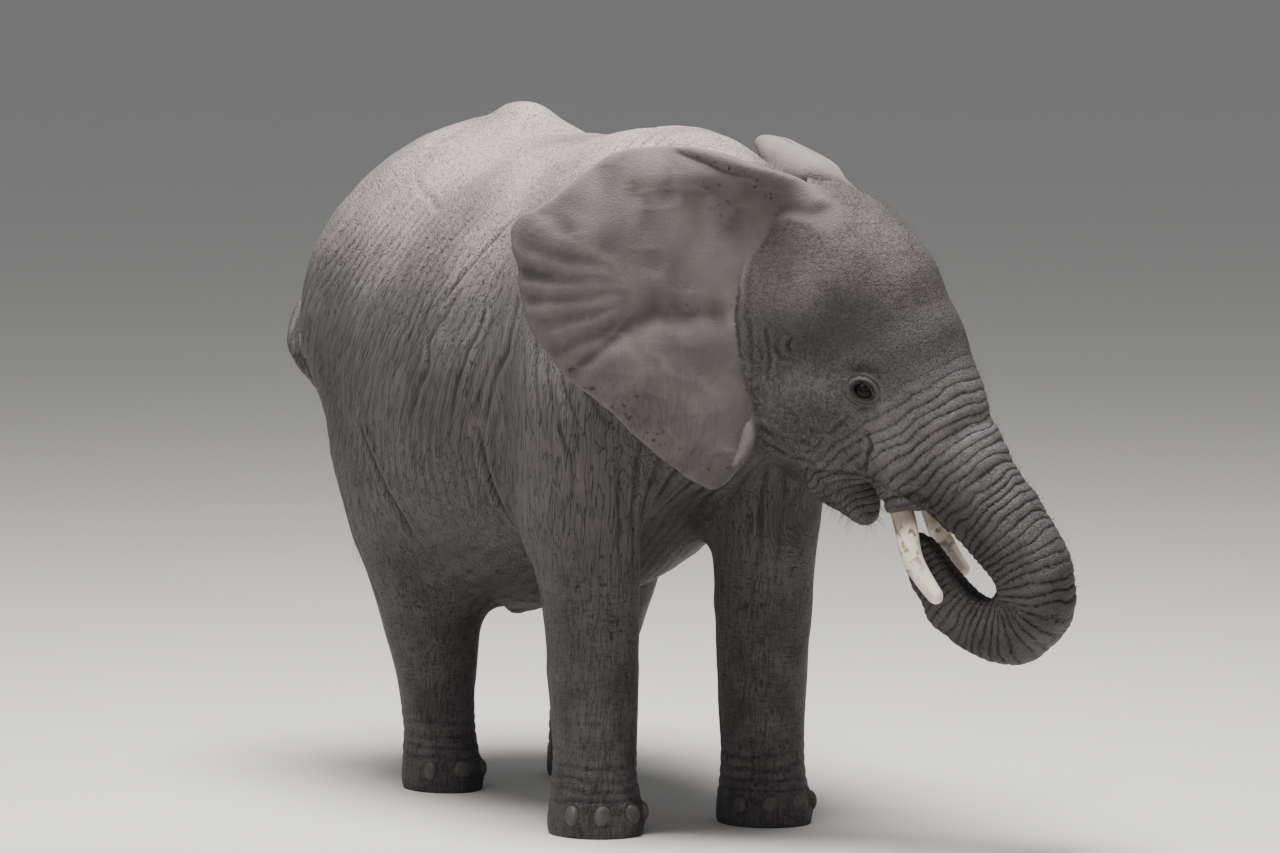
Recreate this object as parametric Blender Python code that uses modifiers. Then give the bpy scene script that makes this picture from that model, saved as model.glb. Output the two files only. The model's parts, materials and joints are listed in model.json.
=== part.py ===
"""A young African savanna elephant, life size, standing with its head turned to its left
and its trunk curled back to its mouth.

Frame: metres, +Z up, floor at z = 0. The animal faces -Y, so its left side is +X.
The flesh is modelled whole: lofts and rounded masses are fused, smoothed and thinned out,
then parted with thin cuts into the pieces that a person would name. Ears, eyes, tusks and
nails are modelled on their own and seated against the flesh.
"""

from math import cos, pi, radians, sin

import bmesh
import bpy
import numpy as np
from mathutils import Matrix, Vector

# ---------------------------------------------------------------- driving dimensions
FORE_Y, HIND_Y = -0.47, 0.47  # where the fore and hind feet stand
FORE_X, HIND_X = 0.235, 0.225  # half the distance between a pair of feet
HIND_STRIDE = 0.07  # how far the left hind foot stands behind the right one
HEAD_AT = Vector((0.075, -0.835, 1.27))  # middle of the head, between the ear roots
HEAD_TURN = radians(42)  # to the animal's left
CUT = 0.0006  # thickness of the cuts that part the flesh
SEAT = 0.0006  # clearance round a piece seated in the flesh
EAR_SEAT = 0.0015  # clearance between the root of an ear and the head
VOXEL = 0.018  # grain of the fused flesh
FLESH_TRIANGLES = 2850
LEFT, RIGHT = 1, -1
SIDES = ((LEFT, "left"), (RIGHT, "right"))

HEAD = Matrix.Translation(HEAD_AT) @ Matrix.Rotation(HEAD_TURN, 4, "Z")
X_AXIS = Vector((1, 0, 0))


def clear_scene():
    for obj in list(bpy.data.objects):
        bpy.data.objects.remove(obj)


def in_head(x, forward, z):
    """A point given from the middle of the head: left, forward and up."""
    return HEAD @ Vector((x, -forward, z))


# ---------------------------------------------------------------- modelling helpers
def through(knots, rows, at):
    """Smooth values at the places `at`, on cubics through the rows given at the knots."""
    knots, rows, at = np.asarray(knots, float), np.asarray(rows, float), np.asarray(at, float)
    slopes = np.gradient(rows, knots, axis=0)
    i = np.clip(np.searchsorted(knots, at) - 1, 0, len(knots) - 2)
    span = (knots[i + 1] - knots[i])[:, None]
    t = (at - knots[i])[:, None] / span
    return (
        rows[i] * (1 + 2 * t) * (1 - t) ** 2
        + slopes[i] * span * t * (1 - t) ** 2
        + rows[i + 1] * t * t * (3 - 2 * t)
        + slopes[i + 1] * span * t * t * (t - 1)
    )


def mesh_object(name, points, faces):
    mesh = bpy.data.meshes.new(name)
    mesh.from_pydata([tuple(p) for p in points], [], faces)
    obj = bpy.data.objects.new(name, mesh)
    bpy.context.scene.collection.objects.link(obj)
    return obj


def face_out(obj):
    """Splits every face into triangles, which stay flat when cut, and turns them outwards."""
    mesh = bmesh.new()
    mesh.from_mesh(obj.data)
    bmesh.ops.triangulate(mesh, faces=mesh.faces)
    bmesh.ops.recalc_face_normals(mesh, faces=mesh.faces)
    mesh.to_mesh(obj.data)
    mesh.free()


def tube(name, rows, across=X_AXIS, steps=30, sides=28, caps=(0.0, 0.0), matrix=None, egg=0.0):
    """A closed body along a path. Each row is one station: x, y, z of the path, half the
    width across it, and the reach above and below it. `caps` is how far from each end the
    section shrinks like a ball's; `egg` makes it wider below than above."""
    rows = np.asarray(rows, float)
    knots = np.concatenate([[0], np.cumsum(np.linalg.norm(np.diff(rows[:, :3], axis=0), axis=1))])
    # Sections crowd towards the ends, where a cap turns in.
    at = (1 - np.cos(np.linspace(0, pi, steps))) / 2 * knots[-1]
    lines = through(knots, rows, at)
    tangents = np.gradient(lines[:, :3], at, axis=0)
    across = np.asarray(across, float)
    ups = np.cross(tangents, across)
    ups /= np.linalg.norm(ups, axis=1)[:, None]
    shrink = np.ones(steps)
    for cap, gone in zip(caps, (at, knots[-1] - at)):
        if cap:
            shrink *= np.sqrt(np.clip(1 - np.clip(1 - gone / cap, 0, 1) ** 2, 0.002, 1))
    angle = np.linspace(0, 2 * pi, sides, endpoint=False)
    c, s = np.cos(angle), np.sin(angle)
    reach = np.where(s[None, :] > 0, lines[:, 4:5], lines[:, 5:6]) * s * shrink[:, None]
    width = lines[:, 3:4] * c * (1 - egg * s) * shrink[:, None]
    points = lines[:, None, :3] + width[..., None] * across + reach[..., None] * ups[:, None, :]
    faces = [tuple(range(sides)), tuple(reversed(range((steps - 1) * sides, steps * sides)))]
    for i in range(steps - 1):
        for j in range(sides):
            k = (j + 1) % sides
            faces.append((i * sides + j, (i + 1) * sides + j, (i + 1) * sides + k, i * sides + k))
    obj = mesh_object(name, points.reshape(-1, 3), faces)
    if matrix:
        obj.data.transform(matrix)
    face_out(obj)
    return obj


def ball(name, centre, radii, turn=(0, 0, 0), matrix=None, segments=24, rings=14):
    """An ellipsoid, its radii along x, y and z before it is turned by degrees about them."""
    mesh = bmesh.new()
    bmesh.ops.create_uvsphere(mesh, u_segments=segments, v_segments=rings, radius=1)
    place = Matrix.Translation(centre)
    for angle, axis in zip(turn, "XYZ"):
        place = place @ Matrix.Rotation(radians(angle), 4, axis)
    place = place @ Matrix.Diagonal((*radii, 1))
    mesh.transform(matrix @ place if matrix else place)
    data = bpy.data.meshes.new(name)
    mesh.to_mesh(data)
    mesh.free()
    obj = bpy.data.objects.new(name, data)
    bpy.context.scene.collection.objects.link(obj)
    return obj


def head_ball(name, x, forward, z, radii, turn=(0, 0, 0)):
    """An ellipsoid placed and turned in the head's own frame."""
    return ball(name, Vector((x, -forward, z)), radii, turn, HEAD)


def bake(obj):
    """Replaces an object's mesh with what its modifiers make of it."""
    graph = bpy.context.evaluated_depsgraph_get()
    data = bpy.data.meshes.new_from_object(obj.evaluated_get(graph))
    obj.modifiers.clear()
    obj.data = data


def points_of(obj):
    points = np.empty(len(obj.data.vertices) * 3)
    obj.data.vertices.foreach_get("co", points)
    return points.reshape(-1, 3)


def settle(obj, rounds, fill, ease):
    """Relaxes a mesh like flesh under skin. Each point moves towards the middle of its
    neighbours: by `fill` where the surface is hollow, by `ease` where it bulges."""
    points = points_of(obj)
    count = len(points)
    ends = np.empty(len(obj.data.edges) * 2, np.int32)
    obj.data.edges.foreach_get("vertices", ends)
    start = np.concatenate([ends[::2], ends[1::2]])
    stop = np.concatenate([ends[1::2], ends[::2]])
    degree = np.bincount(start, minlength=count)[:, None]
    for _ in range(rounds):
        obj.data.vertices.foreach_set("co", points.ravel())
        obj.data.update()
        normals = np.empty(count * 3)
        obj.data.vertices.foreach_get("normal", normals)
        normals = normals.reshape(-1, 3)
        middle = np.stack([np.bincount(start, points[stop, k], count) for k in range(3)], 1) / degree
        step = middle - points
        out = (step * normals).sum(1, keepdims=True)
        points = points + 0.5 * (step - out * normals) + np.where(out > 0, fill, ease) * out * normals
    obj.data.vertices.foreach_set("co", points.ravel())
    obj.data.update()


def fuse(name, pieces, voxel, rounds, fill=0.9, ease=0.06):
    """Joins overlapping closed pieces into one skin and settles it."""
    mesh = bmesh.new()
    for piece in pieces:
        mesh.from_mesh(piece.data)
        bpy.data.objects.remove(piece)
    data = bpy.data.meshes.new(name)
    mesh.to_mesh(data)
    mesh.free()
    obj = bpy.data.objects.new(name, data)
    bpy.context.scene.collection.objects.link(obj)
    remesh = obj.modifiers.new("grain", "REMESH")
    remesh.mode = "VOXEL"
    remesh.voxel_size = voxel
    bake(obj)
    settle(obj, 4, 0.5, 0.5)
    settle(obj, rounds, fill, ease)
    return obj


# ---------------------------------------------------------------- flesh, mass by mass
def torso_masses():
    """Barrel from rump to chest, with the crest of the hips and the sheath on the belly."""
    stations = [  # y, height of the widest level, half width, back, belly
        (0.957, 1.275, 0.14, 1.39, 1.18),
        (0.92, 1.27, 0.30, 1.52, 1.07),
        (0.85, 1.265, 0.435, 1.64, 0.96),
        (0.73, 1.25, 0.505, 1.735, 0.83),
        (0.56, 1.22, 0.51, 1.742, 0.645),
        (0.30, 1.16, 0.515, 1.72, 0.485),
        (0.0, 1.16, 0.50, 1.718, 0.565),
        (-0.25, 1.21, 0.445, 1.735, 0.745),
        (-0.45, 1.26, 0.385, 1.76, 0.84),
        (-0.62, 1.30, 0.32, 1.755, 0.89),
        (-0.78, 1.31, 0.25, 1.675, 0.94),
        (-0.86, 1.32, 0.19, 1.57, 1.05),
    ]
    rows = [(0, y, z, half, back - z, z - belly) for y, z, half, back, belly in stations]
    barrel = tube("barrel", rows, steps=48, sides=40, caps=(0.05, 0.16), egg=0.07)
    crest = ball("crest", (0, 0.44, 1.60), (0.125, 0.205, 0.192))
    croup = ball("croup", (0, 0.63, 1.44), (0.33, 0.23, 0.262))
    withers = ball("withers", (0, -0.47, 1.605), (0.18, 0.25, 0.155))
    sheath_rows = [
        (0, 0.16, 0.58, 0.07, 0.07, 0.07),
        (0, 0.36, 0.53, 0.062, 0.07, 0.06),
        (-0.015, 0.52, 0.452, 0.036, 0.036, 0.036),
    ]
    sheath = tube("sheath", sheath_rows, caps=(0.08, 0.035))
    masses = [barrel, crest, croup, withers, sheath]
    for side, _ in SIDES:
        hip = ball("hip", (side * 0.25, 0.53, 1.36), (0.215, 0.28, 0.20))
        buttock = ball("buttock", (side * 0.215, 0.68, 1.13), (0.215, 0.195, 0.32), (-14, 0, 0))
        masses += [hip, buttock]
    return masses


def foreleg_masses(side):
    """Shoulder blade, arm, elbow, wrist and round foot. The sole is cut flat later."""
    rows = [  # x, y, z, half width, reach forward, reach back
        (0.24, -0.44, 1.34, 0.12, 0.19, 0.20),
        (0.265, -0.46, 1.12, 0.150, 0.20, 0.23),
        (0.260, -0.46, 0.90, 0.142, 0.175, 0.20),
        (0.247, -0.46, 0.70, 0.128, 0.145, 0.165),
        (0.238, -0.465, 0.50, 0.119, 0.132, 0.135),
        (0.235, -0.465, 0.33, 0.112, 0.125, 0.12),
        (0.235, -0.47, 0.19, 0.106, 0.118, 0.112),
        (0.235, -0.47, 0.10, 0.112, 0.128, 0.115),
        (0.235, -0.47, 0.035, 0.124, 0.150, 0.120),
        (0.235, -0.47, -0.03, 0.126, 0.155, 0.122),
    ]
    rows = [(side * (x - 0.235 + FORE_X), y, z, *more) for x, y, z, *more in rows]
    leg = tube("foreleg", rows, steps=38, sides=28, caps=(0.12, 0.0))
    elbow = ball("elbow", (side * 0.275, -0.375, 0.83), (0.115, 0.175, 0.23), (-10, 0, 0))
    blade = ball("blade", (side * 0.245, -0.47, 1.22), (0.115, 0.21, 0.30), (6, side * 10, 0))
    return [leg, elbow, blade]


def hindleg_masses(side):
    """Thigh, knee, shank and foot. The left leg stands a little further back."""
    stride = HIND_STRIDE if side == LEFT else 0.0
    rows = [
        (0.24, 0.54, 1.30, 0.17, 0.22, 0.22),
        (0.268, 0.56, 1.10, 0.202, 0.27, 0.275),
        (0.280, 0.54, 0.90, 0.202, 0.26, 0.248),
        (0.277, 0.50, 0.72, 0.182, 0.21, 0.208),
        (0.263, 0.475, 0.55, 0.150, 0.165, 0.175),
        (0.242, 0.475, 0.38, 0.120, 0.125, 0.148),
        (0.229, 0.48, 0.22, 0.096, 0.105, 0.125),
        (0.225, 0.475, 0.10, 0.097, 0.118, 0.118),
        (0.225, 0.47, 0.035, 0.107, 0.142, 0.118),
        (0.225, 0.47, -0.03, 0.110, 0.148, 0.118),
    ]
    rows = [
        (side * (x - 0.225 + HIND_X), y + stride * max(0, 1 - z / 0.9), z, *more)
        for x, y, z, *more in rows
    ]
    knee = ball("knee", (side * 0.285, 0.375, 0.70), (0.09, 0.10, 0.13))
    return [tube("hindleg", rows, steps=38, sides=28, caps=(0.14, 0.0)), knee]


def neck_masses():
    """Short thick neck, from between the shoulders to the back of the head."""
    nape = in_head(0, -0.03, 0.02)
    rows = [
        (0, -0.40, 1.36, 0.31, 0.37, 0.46),
        (0, -0.62, 1.35, 0.265, 0.37, 0.42),
        (0.02, -0.76, 1.33, 0.22, 0.345, 0.36),
        (nape.x, nape.y, nape.z, 0.19, 0.28, 0.27),
    ]
    return [tube("neck", rows, steps=20, sides=30, caps=(0.1, 0.1))]


# Path of face and trunk from the middle of the head: forward, up, half width, and the
# reach on the outer and on the inner side of the curl.
TRUNK_PATH = [
    (0.20, 0.05, 0.175, 0.232, 0.20),
    (0.29, -0.06, 0.165, 0.222, 0.19),
    (0.37, -0.18, 0.145, 0.180, 0.15),
    (0.45, -0.30, 0.128, 0.150, 0.120),
    (0.54, -0.405, 0.117, 0.125, 0.105),
    (0.625, -0.500, 0.106, 0.110, 0.098),
    (0.686, -0.59, 0.096, 0.098, 0.092),
    (0.690, -0.670, 0.089, 0.089, 0.087),
    (0.628, -0.722, 0.083, 0.083, 0.082),
    (0.540, -0.712, 0.077, 0.077, 0.076),
    (0.470, -0.662, 0.070, 0.070, 0.070),
    (0.422, -0.598, 0.062, 0.062, 0.062),
    (0.389, -0.535, 0.051, 0.051, 0.051),
    (0.370, -0.480, 0.038, 0.038, 0.038),
]


def trunk_masses():
    rows = [(0, -forward, up, *more) for forward, up, *more in TRUNK_PATH]
    return [tube("trunk", rows, steps=90, sides=28, caps=(0.18, 0.03), matrix=HEAD)]


def head_masses():
    """Domed skull, brows, cheekbones, tusk sheaths and pointed lower jaw."""
    masses = [
        head_ball("skull", 0, 0.14, 0.07, (0.198, 0.265, 0.285)),
        head_ball("forehead", 0, 0.235, 0.05, (0.165, 0.215, 0.235)),
        head_ball("nape", 0, -0.02, 0.04, (0.19, 0.17, 0.25)),
    ]
    for side, _ in SIDES:
        masses += [
            head_ball("dome", side * 0.07, 0.115, 0.215, (0.11, 0.155, 0.15)),
            head_ball("brow", side * 0.135, 0.270, -0.070, (0.045, 0.10, 0.042), (28, 0, 0)),
            head_ball("cheekbone", side * 0.148, 0.17, -0.150, (0.045, 0.15, 0.065), (12, 0, 0)),
            head_ball("jaw_muscle", side * 0.105, 0.07, -0.185, (0.078, 0.14, 0.145), (-25, 0, 0)),
            head_ball("cheek", side * 0.085, 0.185, -0.255, (0.062, 0.115, 0.135), (-30, 0, 0)),
            head_ball("ear_base", side * 0.160, -0.01, 0.02, (0.05, 0.07, 0.22)),
        ]
        sheath = [
            (side * 0.080, -0.31, -0.13, 0.080, 0.09, 0.09),
            (side * 0.098, -0.345, -0.27, 0.066, 0.07, 0.07),
            (side * 0.104, -0.368, -0.39, 0.052, 0.055, 0.055),
            (side * 0.105, -0.378, -0.44, 0.046, 0.047, 0.047),
        ]
        masses.append(tube("tusk_sheath", sheath, steps=16, sides=18, caps=(0.08, 0.03), matrix=HEAD))
    jaw = [
        (0, 0.02, -0.17, 0.150, 0.10, 0.13),
        (0, -0.09, -0.265, 0.125, 0.10, 0.105),
        (0, -0.18, -0.355, 0.088, 0.085, 0.078),
        (0, -0.237, -0.43, 0.056, 0.050, 0.052),
        (0, -0.262, -0.485, 0.030, 0.028, 0.028),
    ]
    masses.append(tube("jaw", jaw, steps=22, sides=22, caps=(0.08, 0.03), matrix=HEAD))
    return masses


TAIL_PATH = [  # x, y, z, radius
    (0.0, 0.86, 1.44, 0.060),
    (-0.03, 0.955, 1.435, 0.046),
    (-0.13, 1.005, 1.390, 0.034),
    (-0.255, 1.012, 1.315, 0.029),
    (-0.355, 1.000, 1.225, 0.026),
    (-0.390, 0.980, 1.130, 0.024),
    (-0.340, 0.960, 1.035, 0.021),
    (-0.27, 0.945, 0.930, 0.018),
    (-0.235, 0.935, 0.810, 0.015),
    (-0.225, 0.930, 0.700, 0.012),
]


def whole_tail():
    rows = [(x, y, z, r, r, r) for x, y, z, r in TAIL_PATH]
    across = Vector((0.35, 0.94, 0)).normalized()
    return tube("tail_upper", rows, across=across, steps=22, sides=8, caps=(0.03, 0.015))


def all_flesh():
    """The whole animal but for ears, eyes, tusks, nails and tail, as one thinned-out skin
    standing on flat soles."""
    body = torso_masses() + neck_masses()
    for side, _ in SIDES:
        body += foreleg_masses(side) + hindleg_masses(side)
    body = fuse("body", body, VOXEL, 50)
    head = fuse("head", head_masses() + trunk_masses(), 0.012, 22)
    flesh = fuse("flesh", [body, head], 0.014, 14)
    thin = flesh.modifiers.new("thin", "DECIMATE")
    thin.ratio = FLESH_TRIANGLES / (2 * len(flesh.data.polygons))
    bake(flesh)
    below = block("below_floor", (0, 0, -0.25), (2, 2, 0.25))
    return boolean(flesh, below, "DIFFERENCE")


# ---------------------------------------------------------------- cutting and seating
def block(name, centre, halves, matrix=None):
    """A box given by its middle and half its sides."""
    mesh = bmesh.new()
    bmesh.ops.create_cube(mesh, size=2)
    place = Matrix.Translation(centre) @ Matrix.Diagonal((*halves, 1))
    mesh.transform(matrix @ place if matrix else place)
    data = bpy.data.meshes.new(name)
    mesh.to_mesh(data)
    mesh.free()
    obj = bpy.data.objects.new(name, data)
    bpy.context.scene.collection.objects.link(obj)
    return obj


def boolean(obj, other, operation, solver="EXACT"):
    """Cuts `obj` in place by `other`, which is used up."""
    modifier = obj.modifiers.new("cut", "BOOLEAN")
    modifier.operation = operation
    modifier.solver = solver
    modifier.object = other
    bake(obj)
    bpy.data.objects.remove(other)
    return obj


def twin(obj, name):
    copy = obj.copy()
    copy.data = obj.data.copy()
    copy.name = name
    bpy.context.scene.collection.objects.link(copy)
    return copy


def grown(obj, by):
    """A copy of a body, larger all round."""
    copy = twin(obj, obj.name + "_grown")
    swell = copy.modifiers.new("swell", "DISPLACE")
    swell.strength = by
    swell.mid_level = 0
    bake(copy)
    return copy


def keep_largest(obj):
    """Removes the offcuts that a cut may leave beside a piece."""
    mesh = bmesh.new()
    mesh.from_mesh(obj.data)
    unseen, islands = set(mesh.verts), []
    while unseen:
        island, edge = set(), {unseen.pop()}
        while edge:
            island |= edge
            edge = {e.other_vert(v) for v in edge for e in v.link_edges} - island
        unseen -= island
        islands.append(island)
    islands.sort(key=len)
    for island in islands[:-1]:
        bmesh.ops.delete(mesh, geom=list(island), context="VERTS")
    mesh.to_mesh(obj.data)
    mesh.free()
    return obj


def part_off(rest, name, region):
    """Takes what lies inside `region` out of `rest` as a piece of its own, leaving a thin cut."""
    piece = boolean(twin(rest, name), twin(region, "inside"), "INTERSECT")
    points = points_of(region)
    middle = Matrix.Translation((points.min(0) + points.max(0)) / 2)
    wider = Matrix.Diagonal((*(1 + 2 * CUT / np.ptp(points, axis=0)), 1))
    region.data.transform(middle @ wider @ middle.inverted())
    boolean(rest, region, "DIFFERENCE")
    keep_largest(rest)
    return keep_largest(piece)


def head_prism(name, outline, half):
    """A slab through the head, its outline given as forward and up."""
    count = len(outline)
    points = [in_head(side * half, forward, z) for side in (1, -1) for forward, z in outline]
    faces = [tuple(range(count)), tuple(range(2 * count - 1, count - 1, -1))]
    faces += [(i, i + count, (i + 1) % count + count, (i + 1) % count) for i in range(count)]
    obj = mesh_object(name, points, faces)
    face_out(obj)
    return obj


def beyond(name, station, half, length):
    """The space past one station of the trunk, square to its path there."""
    path = [Vector((0, -forward, up)) for forward, up, *_ in TRUNK_PATH]
    along = (path[station + 1] - path[station - 1]).normalized()
    across = Vector((1, 0, 0))
    turn = Matrix((across, along, across.cross(along))).transposed().to_4x4()
    place = HEAD @ Matrix.Translation(path[station]) @ turn
    return block(name, (0, length / 2, 0), (half, length / 2, half), place)


# ---------------------------------------------------------------- ears
# Outline of the flap as distance out from its root line and height above the floor, from
# the top of the root round the hind edge to the bottom of the root.
EAR_RIM = [
    (-0.120, 1.605),
    (-0.04, 1.655),
    (0.04, 1.698),
    (0.12, 1.716),
    (0.22, 1.722),
    (0.31, 1.708),
    (0.40, 1.652),
    (0.495, 1.578),
    (0.568, 1.534),
    (0.560, 1.465),
    (0.543, 1.372),
    (0.515, 1.275),
    (0.420, 1.152),
    (0.350, 1.100),
    (0.254, 1.010),
    (0.133, 0.915),
    (0.072, 0.889),
    (0.028, 0.930),
    (0.004, 1.000),
]
EAR_ROOT = [  # the line it grows from, in the head's frame: out to the side, forward, up
    (0.115, 0.115, 0.325),
    (0.150, 0.060, 0.270),
    (0.175, 0.012, 0.130),
    (0.184, 0.0, -0.05),
    (0.170, 0.0, -0.19),
    (0.155, 0.01, -0.26),
]
EAR_HINGE = (0.187, 0.0)  # where the flap's own plane meets the head: out and forward
EAR_HEIGHTS = (1.25, 1.50, 1.70)  # heights at which the spread is given
EAR_SPREAD = {"left": (92, 84, 48), "right": (22, 22, 22)}  # degrees out from the head's line
EAR_BELLY = {"left": 0.075, "right": 0.030}  # how far the flap bulges forward


def ear(name, side, word, columns=20, rows=5):
    """A thin curved flap between its root line and its rim."""
    rim = np.array(EAR_RIM)
    gone = np.concatenate([[0], np.cumsum(np.linalg.norm(np.diff(rim, axis=0), axis=1))])
    rim = through(gone, rim, np.linspace(0, gone[-1], columns))
    root = through(np.linspace(0, 1, len(EAR_ROOT)), EAR_ROOT, np.linspace(0, 1, columns))
    hinge = in_head(side * EAR_HINGE[0], EAR_HINGE[1], 0)
    turn = HEAD.to_3x3()
    front, back = [], []
    for (reach, height), (x, forward, up) in zip(rim, root):
        spread = radians(np.interp(height, EAR_HEIGHTS, EAR_SPREAD[word]))
        out = turn @ Vector((side * sin(spread), cos(spread), 0))
        normal = turn @ Vector((side * cos(spread), -sin(spread), 0))
        start = in_head(side * x, forward, up)
        end = Vector((hinge.x, hinge.y, height)) + out * reach
        for r in np.linspace(-0.05, 1, rows):
            # The flap bellies forward, and its rim bends back.
            dish = EAR_BELLY[word] * sin(pi * min(max(r, 0) * 0.85, 1)) - 0.030 * max(r, 0) ** 3
            point = start.lerp(end, r) + normal * dish
            half = 0.5 * (0.026 - 0.018 * max(r, 0))
            front.append(point + normal * half)
            back.append(point - normal * half)
    count = columns * rows
    faces = []
    for i in range(columns - 1):
        for j in range(rows - 1):
            a, b, c, d = i * rows + j, (i + 1) * rows + j, (i + 1) * rows + j + 1, i * rows + j + 1
            faces += [(a, b, c, d), (d + count, c + count, b + count, a + count)]
    border = [i * rows for i in range(columns)]
    border += [(columns - 1) * rows + j for j in range(1, rows)]
    border += [i * rows + rows - 1 for i in range(columns - 2, -1, -1)]
    border += [j for j in range(rows - 2, 0, -1)]
    for a, b in zip(border, border[1:] + border[:1]):
        faces.append((b, a, a + count, b + count))
    obj = mesh_object(name, front + back, faces)
    face_out(obj)
    return obj


# ---------------------------------------------------------------- eyes, tusks and nails
EYE_RADIUS = 0.024
EYE_AT = (0.287, -0.133)  # forward and up, from the middle of the head
TUSK_LENGTH = {"left": 0.80, "right": 1.0}  # as a share of the longer one


def surface_point(flesh, start, toward):
    """Where a straight line from `start` first meets the flesh."""
    hit, point, _, _ = flesh.ray_cast(start, (toward - start).normalized())
    return point if hit else toward


def eye(name, side, flesh):
    forward, up = EYE_AT
    outside, inside = in_head(side * 0.5, forward + 0.03, up), in_head(0, forward, up)
    at = surface_point(flesh, outside, inside)
    inward = (inside - outside).normalized()
    return ball(name, at + inward * EYE_RADIUS * 0.62, (EYE_RADIUS,) * 3, segments=12, rings=8)


def tusk_rows(side, length, extra=0.0):
    root, exit_, tip = (0.103, 0.362, -0.385), (0.106, 0.384, -0.455), (0.150, 0.492, -0.640)
    rows = []
    for share, radius in ((-0.35, 0.029), (0.0, 0.0285), (0.45, 0.026), (0.85, 0.021), (1.0, 0.018)):
        t = share * length if share > 0 else share
        if t <= 0:
            x, forward, up = (exit_[k] + (exit_[k] - root[k]) * t / 0.35 for k in range(3))
        else:
            x, forward, up = (exit_[k] + (tip[k] - exit_[k]) * t for k in range(3))
            forward += 0.022 * sin(pi * t) * -1
        rows.append((side * x, -forward, up, radius + extra, radius + extra, radius + extra))
    return rows


def tusk(name, side, length, extra=0.0):
    """A blunt young tusk, its root seated in the sheath of the upper lip."""
    caps = (0.012, 0.022)
    return tube(name, tusk_rows(side, length, extra), steps=9, sides=10, caps=caps, matrix=HEAD)


def nail(name, flesh, foot, angle, size):
    """A nail on the rim of a foot, seen as a shallow shell on the skin."""
    middle = Vector((foot[0], foot[1], 0.052))
    out = Vector((sin(angle), -cos(angle), 0))
    at = surface_point(flesh, middle + out * 0.4, middle)
    shell = ball(name, at - out * 0.010, (size, 0.020, size * 1.05), (0, 0, np.degrees(angle)), segments=8, rings=5)
    return shell


FEET = {  # x, y, nail angles in degrees from straight ahead, half a nail's width
    "fore_left": (FORE_X, FORE_Y, (-52, -18, 16, 50), 0.031),
    "fore_right": (-FORE_X, FORE_Y, (-50, -16, 18, 52), 0.031),
    "hind_left": (HIND_X, HIND_Y + HIND_STRIDE, (-40, -2, 36), 0.030),
    "hind_right": (-HIND_X, HIND_Y, (-36, 2, 40), 0.030),
}


# ---------------------------------------------------------------- legs, jaw and tail regions
def leg_region(name, side, fore, top):
    """The space round one leg: open air below, a dome in the flesh above."""
    if fore:
        rows = [
            (0.39, -0.46, -0.20, 0.345, 0.26, 0.27),
            (0.39, -0.46, 0.60, 0.345, 0.26, 0.27),
            (0.40, -0.45, 0.95, 0.33, 0.24, 0.26),
            (0.41, -0.45, top, 0.30, 0.15, 0.17),
        ]
    else:
        rows = [
            (0.40, 0.60, -0.20, 0.345, 0.37, 0.44),
            (0.40, 0.60, 0.70, 0.345, 0.35, 0.44),
            (0.41, 0.60, 1.00, 0.33, 0.31, 0.40),
            (0.42, 0.60, top, 0.28, 0.20, 0.26),
        ]
    rows = [(side * x, *more) for x, *more in rows]
    return tube(name, rows, steps=9, sides=16, caps=(0.0, 0.14))


TAIL_SPLIT = 1.13  # height at which the tail is parted


TRUNK_CUTS = (  # name, station of the path, half width and length of the space cut off
    ("trunk_4", 10, 0.090, 0.180),
    ("trunk_3", 8, 0.2, 0.28),
    ("trunk_2", 6, 0.2, 0.30),
    ("trunk_1", 4, 0.2, 0.35),
)


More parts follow.
